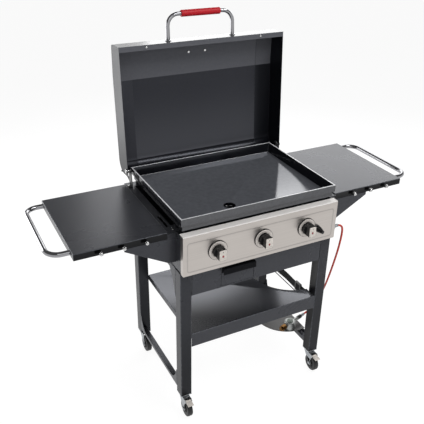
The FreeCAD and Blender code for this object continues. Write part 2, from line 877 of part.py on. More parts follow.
def igniter_electrode(x):
    """A spark electrode through the heat wall, over the front of a burner."""
    z = knob_z + electrode_rise
    front = Vector(x, heat_wall_y - electrode_length / 4, z)
    back = front + y_axis * electrode_length
    tip = rod(electrode_tip_diameter, back, back + y_axis * electrode_tip_length)
    return join(rod(electrode_diameter, front, back), tip)


def igniter_body():
    """The push igniter's threaded body, its collar outside the panel and the button's bore."""
    z = firebox_floor + igniter_rise
    front = Vector(igniter_x, panel_front_y - igniter_collar_height, z)
    face = Vector(igniter_x, panel_front_y, z)
    collar = rod(igniter_collar_diameter, front, face)
    body = rod(igniter_body_diameter, face, face + y_axis * igniter_body_length)
    bore_depth = igniter_collar_height + button_length + button_push
    bore = rod(button_diameter + 2 * running_gap, front, front + y_axis * bore_depth)
    return join(collar, body).cut(bore)


def igniter_button():
    """The igniter button: a plunger under a stepped cone of grip rings."""
    z = firebox_floor + igniter_rise
    head_y = panel_front_y - igniter_collar_height - button_push - button_play
    pieces = [depth_bar(button_diameter, igniter_x, head_y, head_y + button_length, z)]
    for index in range(button_ring_count):
        diameter = button_ring_diameter - index * button_ring_step
        back = Vector(igniter_x, head_y - index * button_ring_length, z)
        groove = back - y_axis * (button_ring_length - button_groove_length)
        front = back - y_axis * button_ring_length
        pieces.append(rod(diameter, groove, back))
        pieces.append(rod(diameter - 2 * button_groove_depth, front, groove))
    return join(*pieces)


def knob_bezel(x):
    """The bright bevelled ring round a knob."""
    front = Vector(x, panel_front_y - bezel_height, knob_z)
    face = Vector(x, panel_front_y, knob_z)
    straight = bezel_height - bezel_chamfer
    ring = rod(bezel_diameter, face - y_axis * straight, face)
    bevel = Part.makeCone(
        bezel_diameter / 2, bezel_diameter / 2 - bezel_chamfer, bezel_chamfer,
        face - y_axis * straight, -y_axis,
    )
    return join(ring, bevel).cut(rod(bezel_bore, front - y_axis, face + y_axis))


def stem_back_y():
    """Where a valve stem ends inside its valve, with room left to push it in."""
    return valve_boss_front_y + valve_bore_depth - knob_push - stem_end_gap


def valve_stem(x):
    """The valve's push-and-turn stem, from inside the valve to inside the knob."""
    back = Vector(x, stem_back_y(), knob_z)
    return rod(stem_diameter, back - y_axis * stem_length, back)


def knob(x):
    """A round knob with a flat-faced wing across it."""
    back = Vector(x, panel_front_y - knob_standoff, knob_z)
    base_front = back - y_axis * knob_base_height
    base = rod(knob_diameter, base_front, back)
    half_length = knob_wing_length / 2
    half_width = knob_wing_width / 2
    wing = block(
        x - half_width, x + half_width, base_front.y - knob_wing_height, base_front.y,
        knob_z - half_length, knob_z + half_length,
    )
    corners = [edge for edge in wing.Edges if abs(edge.Length - knob_wing_height) < 1e-6]
    wing = wing.makeFillet(knob_wing_radius, corners)
    bore_front = Vector(x, stem_back_y() - stem_length - sliding_gap, knob_z)
    return join(base, wing).cut(rod(stem_diameter + 2 * running_gap, bore_front, back))


def griddle_plate():
    """The cast griddle: a drafted well with a drain hole, a raised rim, a base and four feet."""
    half_x = half_griddle_x
    half_y = half_griddle_y
    rim = block(-half_x, half_x, -half_y, half_y, griddle_rim_low, griddle_rim_top)
    base_x = half_x - griddle_base_inset
    base_y = half_y - griddle_base_inset
    base = block(-base_x, base_x, -base_y, base_y, griddle_base, griddle_rim_low)
    outlines = []
    low_inset = griddle_wall + griddle_well_draft
    for z, inset in ((griddle_surface, low_inset), (griddle_rim_top, griddle_wall)):
        well_x = half_x - inset
        well_y = half_y - inset
        corners = [
            Vector(-well_x, -well_y, z),
            Vector(well_x, -well_y, z),
            Vector(well_x, well_y, z),
            Vector(-well_x, well_y, z),
        ]
        outlines.append(Part.makePolygon(corners + corners[:1]))
    well = Part.makeLoft(outlines, True, True)
    drain = upright_bar(drain_diameter, drain_x, drain_y, griddle_base - cut_past, griddle_rim_top)
    feet = [
        upright_bar(griddle_foot_diameter, x, y, firebox_top, griddle_base)
        for x in (-griddle_foot_x, griddle_foot_x) for y in griddle_foot_ys
    ]
    return join(rim, base, *feet).cut(well).cut(drain)


def drain_chute():
    """The grease pipe from under the griddle's drain to over the tray, with its floor collar."""
    low = Vector(drain_x, drain_y, leg_top - chute_drop)
    high = Vector(drain_x, drain_y, griddle_base - chute_top_gap)
    floor = Vector(drain_x, drain_y, firebox_floor + sheet)
    pipe = rod(chute_diameter, low, high)
    collar = rod(chute_collar_diameter, floor, floor + z_axis * sheet)
    return join(pipe, collar).cut(rod(chute_diameter - 2 * chute_wall, low, high))


def tray_rail(side):
    """A hanging angle that the grease tray slides on."""
    front = -half_frame_y + sheet + apron_flange
    face = tray_x + side * (tray_width / 2 + loose_gap)
    ledge_top = apron_bottom + tray_rise
    back = front + tray_rail_length
    plate = block(face, face + side * sheet, front, back, ledge_top - sheet, leg_top)
    ledge = block(
        face + side * sheet, face - side * tray_rail_ledge, front, back, ledge_top - sheet, ledge_top,
    )
    return join(plate, ledge)


def drip_tray():
    """The grease tray: an open box behind a flush front."""
    front = -half_frame_y
    low = apron_bottom + tray_rise + sliding_gap
    half = tray_width / 2
    back = front + sheet + tray_length
    outside = block(tray_x - half, tray_x + half, front + sheet, back, low, low + tray_height)
    inside = block(
        tray_x - half + tray_sheet, tray_x + half - tray_sheet,
        front + sheet, back - tray_sheet, low + tray_sheet, low + tray_height + cut_past,
    )
    face_low = apron_bottom + tray_front_rise
    face_half = tray_front_width / 2
    face = block(
        tray_x - face_half, tray_x + face_half, front, front + sheet,
        face_low, face_low + tray_front_height,
    )
    return join(outside.cut(inside), face)


def tray_handle():
    """A bent strip across the tray's front to pull it by."""
    face = -half_frame_y
    low = apron_bottom + tray_handle_rise
    high = low + tray_handle_height
    half = tray_front_width / 2
    front = face - tray_handle_reach
    return side_slab([
        (face, high),
        (front, high),
        (front, low),
        (front + sheet, low),
        (front + sheet, high - sheet),
        (face - sheet, high - sheet),
        (face - sheet, low),
        (face, low),
    ], tray_x - half, tray_x + half)


def lid_slope():
    """The slope of the lid's front top, in degrees, from the front corner's round to the fold."""
    run = lid_fold - lid_front_radius
    rise = lid_height - lid_front_height + lid_front_radius
    return math.degrees(math.atan2(rise, run) - math.asin(lid_front_radius / math.hypot(run, rise)))


def lid_section(inset):
    """The closed lid's outline in depth and height, drawn in from its outside by an inset."""
    slope = lid_slope()
    front = lid_front_y + inset
    back = lid_back_y - inset
    top = lid_rim + lid_height - inset
    fold_y = lid_front_y + lid_fold + inset * math.tan(math.radians(slope / 2))
    corner = (lid_front_y + lid_front_radius, lid_rim + lid_front_height - lid_front_radius)
    rear = (lid_back_y - lid_rear_radius, lid_rim + lid_height - lid_rear_radius)
    return [
        (front, lid_rim),
        (front, corner[1]),
        arc_step(corner, lid_front_radius - inset, 180, 90 + slope),
        (fold_y, top),
        (rear[0], top),
        arc_step(rear, lid_rear_radius - inset, 90, 0),
        (back, lid_rim),
    ]


def opened(shape):
    """A piece of the closed lid, swung to the open position."""
    turned = shape.copy()
    turned.rotate(Vector(0, pivot_y, pivot_z), x_axis, -lid_open_angle)
    return turned


def open_back():
    """The space under the lid's rear corner, which has no back wall."""
    rear_low = lid_rim + lid_height - lid_rear_radius
    front = lid_back_y - 2 * lid_rear_radius / 3
    back = lid_back_y + cut_past
    return block(-lid_inner_x, lid_inner_x, front, back, lid_rim - cut_past, rear_low)


def lid_shell():
    """The lid's wrapped sheet: front wall, folded top and rolled rear, with a hem at the front rim."""
    outside = side_slab(lid_section(0), -lid_inner_x, lid_inner_x)
    inside = side_slab(lid_section(lid_sheet), -lid_inner_x, lid_inner_x)
    hem = block(
        -lid_inner_x, lid_inner_x, lid_front_y, lid_front_y + lid_sheet + lid_hem,
        lid_rim, lid_rim + lid_sheet,
    )
    shell = outside.cut(inside).cut(open_back())
    holes = [rod(badge_bolt_diameter, *badge_bolt_line(x)) for x in badge_bolt_xs()]
    return opened(join(shell, hem).cut(Part.makeCompound(holes)))


def lid_end_panel():
    """The lid's right-hand end, with a wide flange lapped inside the wrapped sheet."""
    plate = side_slab(lid_section(0), lid_inner_x, lid_x)
    lap_x = lid_inner_x - lid_lap
    lap = side_slab(lid_section(lid_sheet), lap_x, lid_inner_x).cut(
        side_slab(lid_section(2 * lid_sheet), lap_x, lid_inner_x)
    )
    hem_clear = block(
        lap_x, lid_inner_x, lid_front_y, lid_front_y + 2 * lid_sheet + lid_hem,
        lid_rim, lid_rim + 2 * lid_sheet,
    )
    panel = join(plate, lap.cut(open_back()).cut(hem_clear))
    hole = width_bar(hinge_pin_diameter, lid_inner_x - cut_past, lid_x + cut_past, pivot_y, pivot_z)
    return opened(panel.cut(hole))


def badge_spot():
    """The badge's middle on the sloping front of the closed lid, and the way out of the sheet."""
    slope = math.radians(lid_slope())
    rise = lid_height - (lid_fold - badge_from_front) * math.tan(slope)
    spot = Vector(0, lid_front_y + badge_from_front, lid_rim + rise)
    return spot, Vector(0, -math.sin(slope), math.cos(slope))


def badge_bolt_xs():
    """The badge bolts' places across the lid."""
    return (-badge_bolt_pitch / 2, badge_bolt_pitch / 2)


def badge_bolt_line(x):
    """A badge bolt's end points, square to the sloping sheet of the closed lid."""
    spot, normal = badge_spot()
    here = spot + x_axis * x
    return here - normal * lid_sheet, here + normal * badge_thickness


def lid_badge():
    """The bare plate on the lid's sloping front."""
    spot = badge_spot()[0]
    plate = block(
        -badge_width / 2, badge_width / 2, spot.y - badge_height / 2, spot.y + badge_height / 2,
        spot.z, spot.z + badge_thickness,
    )
    plate.rotate(spot, x_axis, lid_slope())
    holes = [rod(badge_bolt_diameter, *badge_bolt_line(x)) for x in badge_bolt_xs()]
    return opened(plate.cut(Part.makeCompound(holes)))


def lid_bolts():
    """The badge's bolts with their nuts inside the lid, and two screws at the front rim."""
    normal = badge_spot()[1]
    bolts = []
    for x in badge_bolt_xs():
        inner, outer = badge_bolt_line(x)
        shank = rod(badge_bolt_diameter, inner, outer)
        nut = rod(badge_nut_diameter, inner - normal * badge_nut_height, inner)
        bolts.append(opened(join(shank, nut)))
    screw_y = lid_front_y + lid_sheet + rim_screw_inset
    for x in (-rim_screw_x, rim_screw_x):
        seat = Vector(x, screw_y, lid_rim)
        bolts.append(opened(rod(rim_screw_diameter, seat, seat - z_axis * rim_screw_height)))
    return bolts


def lid_hinge_pin():
    """The right-hand hinge bolt, fixed in the lid's end and turning in the bracket."""
    start = Vector(bracket_x, pivot_y, pivot_z)
    outside = Vector(lid_x, pivot_y, pivot_z)
    shank = rod(hinge_pin_diameter, start, outside)
    head = rod(hinge_pin_head_diameter, outside, outside + x_axis * hinge_pin_head_height)
    return join(shank, head)


def lid_handle():
    """The bowed handle tube with a round foot at each end."""
    half = handle_span / 2
    z = lid_rim + handle_rise
    wall_y = lid_front_y
    foot_y = wall_y - handle_foot_height
    bow_y = wall_y - handle_reach
    points = [
        Vector(-half, foot_y, z),
        Vector(-half, bow_y, z),
        Vector(half, bow_y, z),
        Vector(half, foot_y, z),
    ]
    tube = bent_tube(points, handle_radius, handle_tube, handle_tube_bore)
    feet = [depth_bar(handle_foot_diameter, x, foot_y, wall_y, z) for x in (-half, half)]
    return opened(join(tube, *feet))


def lid_grip():
    """The red sleeve on the handle, with rounded ends."""
    z = lid_rim + handle_rise
    y = lid_front_y - handle_reach
    left = Vector(-grip_length / 2, y, z)
    right = Vector(grip_length / 2, y, z)
    sleeve = rod(grip_diameter, left, right)
    ends = [edge for edge in sleeve.Edges if 2 * grip_diameter < edge.Length < 4 * grip_diameter]
    sleeve = sleeve.makeFillet((grip_diameter - handle_tube) / 3, ends)
    return opened(sleeve.cut(rod(handle_tube + 2 * running_gap, left, right)))


def stop_pin_centre():
    """Where the stop pin stands under the open lid's rolled rear corner, in depth and height."""
    reach = lid_rear_radius + stop_pin_diameter / 2 + sliding_gap
    turn = math.radians(stop_pin_angle)
    spot = Part.Vertex(
        0,
        lid_back_y - lid_rear_radius + reach * math.cos(turn),
        lid_rim + lid_height - lid_rear_radius + reach * math.sin(turn),
    )
    return opened(spot).Point


def hinge_bracket():
    """The right-hand hinge bracket: a foot on the firebox flange, an eye and the open-stop's arm."""
    outer = bracket_x + bracket_sheet
    stop = stop_pin_centre()
    web = side_slab([
        (bracket_foot_front_y, firebox_top),
        (bracket_foot_back_y, firebox_top),
        (pivot_y + bracket_lobe_radius, pivot_z),
        (pivot_y - bracket_lobe_radius, pivot_z),
    ], bracket_x, outer)
    eye = width_bar(2 * bracket_lobe_radius, bracket_x, outer, pivot_y, pivot_z)
    arm_end = width_bar(stop_pin_diameter, bracket_x, outer, stop.y, stop.z)
    root_y = (bracket_foot_front_y + bracket_foot_back_y) / 2
    root_z = firebox_top + bracket_arm_rise
    along = Vector(0, stop.y - root_y, stop.z - root_z).normalize()
    across = Vector(0, -along.z, along.y) * (stop_pin_diameter / 2)
    arm = side_slab([
        (root_y + across.y, root_z + across.z),
        (stop.y + across.y, stop.z + across.z),
        (stop.y - across.y, stop.z - across.z),
        (root_y - across.y, root_z - across.z),
    ], bracket_x, outer)
    foot = block(
        bracket_x, outer + bracket_foot, bracket_foot_front_y, bracket_foot_back_y,
        firebox_top, firebox_top + bracket_sheet,
    )
    stop_pin = width_bar(stop_pin_diameter, outer, lid_x + lid_sheet, stop.y, stop.z)
    eye_bore = hinge_pin_diameter + 2 * running_gap
    hole = width_bar(eye_bore, bracket_x - cut_past, outer + cut_past, pivot_y, pivot_z)
    return join(web, eye, arm_end, arm, foot, stop_pin).cut(hole)


def side_shelf():
    """The right-hand side shelf: a sheet turned down on all four sides."""
    inner = flange_x
    outer = inner + shelf_length
    front = shelf_front_y
    back = shelf_back_y
    outside = block(inner, outer, front, back, shelf_top - shelf_lip, shelf_top)
    inside = block(
        inner + sheet, outer - sheet, front + sheet, back - sheet,
        shelf_top - shelf_lip - cut_past, shelf_top - sheet,
    )
    return outside.cut(inside)


def shelf_gusset(y, shelf, box):
    """A right-hand gusset plate under the side shelf, cut to clear the shelf and the firebox."""
    top = shelf_top - sheet
    low = shelf_top - gusset_foot
    tip = firebox_x + gusset_reach
    plate = front_slab([
        (firebox_x, top),
        (firebox_x, low),
        (firebox_x + gusset_foot_width, low),
        (tip, shelf_top - gusset_nose),
        (tip, top),
    ], y, y + gusset_sheet)
    return max(plate.cut(shelf).cut(box).Solids, key=lambda solid: solid.Volume)


def towel_bar():
    """The right-hand towel bar: a bent tube on the shelf's outer lip."""
    start = flange_x + shelf_length
    z = shelf_top - bar_drop
    points = [
        Vector(start, bar_front_y, z),
        Vector(start + bar_reach, bar_front_y, z),
        Vector(start + bar_reach, bar_back_y, z),
        Vector(start, bar_back_y, z),
    ]
    return bent_tube(points, bar_radius, bar_tube, bar_tube_bore)


def shelf_hook(x):
    """A wire hook on the shelf's front lip."""
    z = shelf_top - hook_drop
    tip_y = shelf_front_y - hook_reach
    points = [Vector(x, shelf_front_y, z), Vector(x, tip_y, z), Vector(x, tip_y, z + hook_rise)]
    wire = bar_along(points, [hook_radius], hook_wire)
    ball = Part.makeSphere(hook_ball_diameter / 2, Vector(x, tip_y, z + hook_rise))
    return join(wire, ball)


def screw_head(x, y, z):
    """A low round screw head that stands on a level face."""
    return upright_bar(screw_head_diameter, x, y, z, z + screw_head_height)


def frame_screws():
    """The screws on the firebox's side flanges and through the hinge brackets' feet."""
    heads = []
    foot_x = bracket_x + bracket_sheet + bracket_foot / 2
    foot_y = (bracket_foot_front_y + bracket_foot_back_y) / 2
    flange_screw_x = firebox_x + slot_outset - slot_width
    for side in (-1, 1):
        heads.append(screw_head(side * flange_screw_x, flange_screw_y, firebox_top))
        heads.append(screw_head(side * foot_x, foot_y, firebox_top + bracket_sheet))
    return heads


def gas_hose():
    """The gas hose, hung from the inlet nipple and laid to the regulator."""
    points = [Vector(*point) for point in hose_points]
    radii = []
    for before, corner, after in zip(points, points[1:], points[2:]):
        way_in = corner - before
        way_out = after - corner
        shorter = min(way_in.Length, way_out.Length)
        radii.append(hose_corner_share * shorter / math.tan(way_in.getAngle(way_out) / 2))
    hose = bar_along(points, radii, hose_diameter)
    length = rounded_route(points, radii).Length
    area = math.pi * hose_diameter ** 2 / 4
    print("hose bend radii", [round(radius) for radius in radii])
    print("hose length", round(length))
    print("hose volume to section times length", round(hose.Volume / (area * length), 4))
    return hose


def regulator_centre():
    """The regulator body's centre, in line with the hose's end."""
    reach = ferrule_length + sleeve_length + outlet_length + regulator_diameter / 2
    return hose_end + hose_heading * reach


def regulator():
    """The gas regulator: round body and cap, outlet with the hose's sleeve and ferrule, and a stub."""
    centre = regulator_centre()
    foot = Vector(centre.x, centre.y, bottle_plate_top)
    body_top = foot + z_axis * regulator_height
    body = rod(regulator_diameter, foot, body_top)
    rounds = [edge for edge in body.Edges if edge.Length > 2 * regulator_diameter]
    rim = [edge for edge in rounds if edge.CenterOfMass.z > centre.z]
    body = body.makeFillet(regulator_edge_radius, rim)
    cap = rod(regulator_cap_diameter, body_top, body_top + z_axis * regulator_cap_height)
    ferrule_end = hose_end + hose_heading * ferrule_length
    sleeve_end = ferrule_end + hose_heading * sleeve_length
    ferrule = rod(ferrule_diameter, hose_end, ferrule_end)
    sleeve = rod(sleeve_diameter, ferrule_end, sleeve_end)
    sunk = hose_heading * (regulator_diameter / 4)
    outlet = rod(outlet_diameter, sleeve_end, centre - sunk)
    inlet_face = centre + hose_heading * (regulator_diameter / 2)
    stub = rod(regulator_stub_diameter, centre + sunk, inlet_face + hose_heading * regulator_stub_length)
    return join(body, cap, ferrule, sleeve, outlet, stub)


def regulator_nut():
    """The bottle connection: a six-sided nut and its round inlet."""
    start = regulator_centre() + hose_heading * (regulator_diameter / 2 + regulator_stub_length)
    across = hose_heading.cross(z_axis).normalize()
    corner_radius = regulator_nut_across / math.sqrt(3)
    corners = []
    for index in range(6):
        turn = math.pi * index / 3
        corners.append(start + (across * math.cos(turn) + z_axis * math.sin(turn)) * corner_radius)
    nut = Part.Face(Part.makePolygon(corners + corners[:1])).extrude(hose_heading * regulator_nut_length)
    end = start + hose_heading * regulator_nut_length
    inlet = rod(regulator_inlet_diameter, end, end + hose_heading * regulator_inlet_length)
    return join(nut, inlet)


def save_casters():
    """The four casters: fixed stems in one node, and a fork and a wheel for each."""
    stems = []
    for end, y in (("front", -leg_y), ("rear", leg_y)):
        for side, x in (("left", -leg_x), ("right", leg_x)):
            place = end + "_" + side
            braked = end == "front"
            stems.append(caster_stem(x, y))
            save("leg_" + place, leg(x, y))
            save("caster_fork_" + place, *caster_fork(x, y, braked))
            save("caster_wheel_" + place, caster_wheel(x, y))
            if braked:
                save("caster_brake_" + place, caster_brake(x, y))
    save("caster_stems", *stems)


def save_cart():
    """The cart's rails, shelf and bottle place."""
    top_rail = top_side_rail()
    bottom_rail = bottom_side_rail()
    save("top_side_rails", mirrored(top_rail), top_rail)
    save("bottom_side_rails", mirrored(bottom_rail), bottom_rail)
    save("front_apron", front_apron())
    save("rear_rail", rear_rail())
    save("lower_shelf", lower_shelf())
    save("bottle_plate", bottle_plate())
    save("bottle_strap", *bottle_strap())


def save_firebox():
    """The firebox, its burners and the gas train, and the grease path."""
    save("firebox", firebox())
    save("control_panel", control_panel())
    save("gas_manifold", gas_manifold())
    save("gas_valves", *[gas_valve(x) for x in knob_xs])
    save("burners", *[burner(x) for x in knob_xs])
    save("igniter_electrodes", *[igniter_electrode(x) for x in knob_xs])
    save("igniter_body", igniter_body())
    save("igniter_button", igniter_button())
    save("knob_bezels", *[knob_bezel(x) for x in knob_xs])
    for name, x in zip(("left", "centre", "right"), knob_xs):
        save("valve_stem_" + name, valve_stem(x))
        save("knob_" + name, knob(x))
    save("griddle_plate", griddle_plate())
    save("drain_chute", drain_chute())
    save("tray_rails", tray_rail(-1), tray_rail(1))
    save("drip_tray", drip_tray())
    save("tray_handle", tray_handle())


def save_lid():
    """The lid, its hinge and its handle."""
    end_panel = lid_end_panel()
    pin = lid_hinge_pin()
    bracket = hinge_bracket()
    save("lid_shell", lid_shell())
    save("lid_end_panels", mirrored(end_panel), end_panel)
    save("lid_badge", lid_badge())
    save("lid_bolts", *lid_bolts())
    save("lid_hinge_pins", mirrored(pin), pin)
    save("lid_handle", lid_handle())
    save("lid_grip", lid_grip())
    save("hinge_brackets", mirrored(bracket), bracket)
    save("frame_screws", *frame_screws())


def save_side_shelves():
    """The side shelves with their gussets, towel bars and hooks."""
    shelf = side_shelf()
    box = firebox()
    bar = towel_bar()
    front_gusset = shelf_gusset(shelf_front_y + sheet, shelf, box)
    back_gusset = shelf_gusset(shelf_back_y - sheet - gusset_sheet, shelf, box)
    hooks = [shelf_hook(hook_first_x + index * hook_pitch) for index in range(hook_count)]
    save("side_shelf_left", mirrored(shelf))
    save("side_shelf_right", shelf)
    save("shelf_gussets", mirrored(front_gusset), mirrored(back_gusset), front_gusset, back_gusset)
    save("towel_bar_left", mirrored(bar))
    save("towel_bar_right", bar)
    save("shelf_hooks", *[mirrored(hook) for hook in hooks], *hooks)


def save_gas_supply():
    """The hose and the regulator that lies on the bottle plate."""
    save("gas_hose", gas_hose())
    save("regulator", regulator())
    save("regulator_nut", regulator_nut())


os.makedirs("parts", exist_ok=True)
save_casters()
save_cart()
save_firebox()
save_lid()
save_side_shelves()
save_gas_supply()
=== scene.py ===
import json
import logging
import math
from collections.abc import Sequence
from dataclasses import dataclass, field
from enum import Enum

import bmesh
import bpy
from mathutils import Matrix, Vector


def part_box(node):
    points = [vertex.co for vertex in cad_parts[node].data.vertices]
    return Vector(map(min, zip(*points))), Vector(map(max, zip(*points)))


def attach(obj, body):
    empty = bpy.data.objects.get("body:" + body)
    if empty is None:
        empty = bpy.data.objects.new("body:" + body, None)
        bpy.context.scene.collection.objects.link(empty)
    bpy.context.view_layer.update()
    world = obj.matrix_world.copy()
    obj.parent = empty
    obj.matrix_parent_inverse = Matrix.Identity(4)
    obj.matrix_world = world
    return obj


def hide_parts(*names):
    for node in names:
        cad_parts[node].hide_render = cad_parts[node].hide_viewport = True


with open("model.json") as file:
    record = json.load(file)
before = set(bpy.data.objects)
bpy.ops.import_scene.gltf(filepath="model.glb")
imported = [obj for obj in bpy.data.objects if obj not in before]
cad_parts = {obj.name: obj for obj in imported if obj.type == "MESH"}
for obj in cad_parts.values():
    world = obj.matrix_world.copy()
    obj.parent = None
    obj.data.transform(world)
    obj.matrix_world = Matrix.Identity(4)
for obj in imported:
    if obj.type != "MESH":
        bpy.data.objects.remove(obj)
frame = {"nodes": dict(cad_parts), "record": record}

# The looks of a three-burner gas griddle on a cart. Sizes are written in millimetres and
# turned into the frame's metres by MM where they meet a mesh. Tones are screen colours, 0 to 255.
Triple = tuple[float, float, float]
Pair = tuple[float, float]
Piece = bpy.types.Object
Socket = bpy.types.NodeSocket
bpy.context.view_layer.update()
MM = 0.001
SAME_POINT = 2e-6
ON_SIDE = 0.05 * MM
STRAIGHT = 0.999
SHARP_EDGE = math.radians(30)
FLAT_ENOUGH = math.radians(0.3)
FLAT_WEIGHT = 100
OPEN = math.inf
LEVEL: Pair = (0.99, OPEN)
AGAINST: Pair = (-OPEN, -0.9)
ROUNDING_STEPS = 3
LEAST_CORNER = 0.2
SKIN_LIFT = 0.08
BUMP_STRENGTH = 0.6
MOTTLE_SHARE = 0.12
SMEARS_PER_METRE = 5.0
WAVE_TURNS = 20
LOG = logging.getLogger("gas_griddle")
NODES: dict[str, Piece] = frame["nodes"]
SLOT_OF: dict[str, str] = {row["node"]: row["material_slot"] for row in frame["record"]["subparts"]}
BODY_OF: dict[str, str] = {
    node: body for body, nodes in frame["record"]["behaviour"]["bodies"].items() for node in nodes
}


class Bench:
    """Places and links the nodes of one tree."""

    def __init__(self, tree: bpy.types.NodeTree) -> None:
        """Takes the tree that the nodes go into."""
        self.tree = tree

    def add(self, kind: str, sockets: dict | None = None, **settings: object) -> bpy.types.Node:
        """Adds a node with its settings, input values and links.

        Args:
            kind: the node's type name.
            sockets: a value or an output socket for each input, by name or number.
            settings: the node's own properties.

        Returns:
            The new node.
        """
        node = self.tree.nodes.new(kind)
        for name, value in settings.items():
            setattr(node, name, value)
        for key, value in (sockets or {}).items():
            if isinstance(value, Socket):
                self.tree.links.new(value, node.inputs[key])
            else:
                node.inputs[key].default_value = value
        return node

    def math(self, operation: str, first: object, second: object) -> Socket:
        """One sum of two values or sockets.

        Args:
            operation: the sum's name, such as MULTIPLY.
            first: the first value or socket.
            second: the second value or socket.

        Returns:
            The result's socket.
        """
        return self.add("ShaderNodeMath", {0: first, 1: second}, operation=operation).outputs[0]

    def spread(self, value: Socket, taken: Pair, given: Pair) -> Socket:
        """A value moved from one range to another.

        Args:
            value: the socket to read.
            taken: the range that is read.
            given: the range that comes out.

        Returns:
            The result's socket.
        """
        sockets = {0: value, 1: taken[0], 2: taken[1], 3: given[0], 4: given[1]}
        return self.add("ShaderNodeMapRange", sockets).outputs[0]

    def blend(self, share: object, first: object, second: object) -> Socket:
        """Two colours mixed by a share.

        Args:
            share: the second colour's share, as a socket.
            first: the first colour or its socket.
            second: the second colour or its socket.

        Returns:
            The mixed colour's socket.
        """
        sockets = {0: share, 6: first, 7: second}
        return self.add("ShaderNodeMix", sockets, data_type="RGBA").outputs[2]


def linear(tone: Triple) -> tuple[float, float, float, float]:
    """A screen colour as the linear colour that a shader takes.

    Args:
        tone: red, green and blue from 0 to 255.

    Returns:
        Linear red, green, blue and alpha.
    """
    parts = []
    for value in tone:
        share = value / 255
        parts.append(share / 12.92 if share <= 0.04045 else ((share + 0.055) / 1.055) ** 2.4)
    return (parts[0], parts[1], parts[2], 1.0)


def new_group(name: str, inputs: dict[str, str], outputs: Sequence[str]) -> bpy.types.NodeTree:
    """An empty shader group with named sockets.

    Args:
        name: the group's name.
        inputs: each input's name and socket type.
        outputs: the names of its value outputs.

    Returns:
        The new group.
    """
    group = bpy.data.node_groups.new(name, "ShaderNodeTree")
    for label, kind in inputs.items():
        group.interface.new_socket(label, in_out="INPUT", socket_type=kind)
    for label in outputs:
        group.interface.new_socket(label, in_out="OUTPUT", socket_type="NodeSocketFloat")
    return group


def surface_detail() -> bpy.types.NodeTree:
    """The group that gives each finish its grain, mottle, smears and edge tone, made once; the edge tone is
    partly rubbed wear and partly a painted highlight.

    Returns:
        The shader group.
    """
    name = "surface_detail"
    if name in bpy.data.node_groups:
        return bpy.data.node_groups[name]
    inputs = {"Grain per metre": "NodeSocketFloat", "Stretch": "NodeSocketVector"}
    group = new_group(name, inputs, ("Height", "Mottle", "Smear", "Edge"))
    bench = Bench(group)
    given = bench.add("NodeGroupInput").outputs
    place = bench.add("ShaderNodeTexCoord").outputs["Object"]
    drawn = bench.add(
        "ShaderNodeVectorMath", {0: place, 1: given["Stretch"]}, operation="MULTIPLY"
    ).outputs[0]
    grain = bench.add(
        "ShaderNodeTexNoise", {"Vector": drawn, "Scale": given["Grain per metre"], "Detail": 3.0}
    ).outputs[0]
    coarse = bench.math("MULTIPLY", given["Grain per metre"], MOTTLE_SHARE)
    mottle = bench.add(
        "ShaderNodeTexNoise", {"Vector": drawn, "Scale": coarse, "Detail": 4.0}
    ).outputs[0]
    smear = bench.add(
        "ShaderNodeTexNoise", {"Vector": place, "Scale": SMEARS_PER_METRE, "Detail": 5.0, "Distortion": 1.2},
    ).outputs[0]
    # Bevelled faces: their lighter edge tone is partly rubbed wear and partly a painted highlight on the
    # rounded edges.
    edge_wear_and_highlight_mask = bench.add("ShaderNodeAttribute", attribute_name="edge_wear_and_highlight").outputs["Fac"]
    edge = bench.math("MULTIPLY", edge_wear_and_highlight_mask, bench.spread(mottle, (0.35, 0.65), (0.4, 1.0)))
    bench.add("NodeGroupOutput", {
        "Height": grain,
        "Mottle": bench.spread(mottle, (0.3, 0.7), (0.0, 1.0)),
        "Smear": bench.spread(smear, (0.35, 0.7), (0.0, 1.0)),
        "Edge": edge,
    })
    return group


def fade_mask() -> bpy.types.NodeTree:
    """The group that fades a finish along one way through the object, made once.

    Returns:
        The shader group.
    """
    name = "fade_mask"
    if name in bpy.data.node_groups:
        return bpy.data.node_groups[name]
    inputs = {"Way": "NodeSocketVector", "From": "NodeSocketFloat", "To": "NodeSocketFloat"}
    group = new_group(name, inputs, ("Mask",))
    bench = Bench(group)
    given = bench.add("NodeGroupInput").outputs
    place = bench.add("ShaderNodeTexCoord").outputs["Object"]
    reach = bench.add(
        "ShaderNodeVectorMath", {0: place, 1: given["Way"]}, operation="DOT_PRODUCT"
    ).outputs["Value"]
    sockets = {0: reach, 1: given["From"], 2: given["To"], 3: 0.0, 4: 1.0}
    share = bench.add("ShaderNodeMapRange", sockets, interpolation_type="SMOOTHSTEP").outputs[0]
    bench.add("NodeGroupOutput", {"Mask": share})
    return group


@dataclass(frozen=True)
class Fade:
    """A slow change of tone, and of specular where set, along one way, over a span in metres."""

    tone: Triple
    way: Triple
    span: Pair
    specular: float | None = None


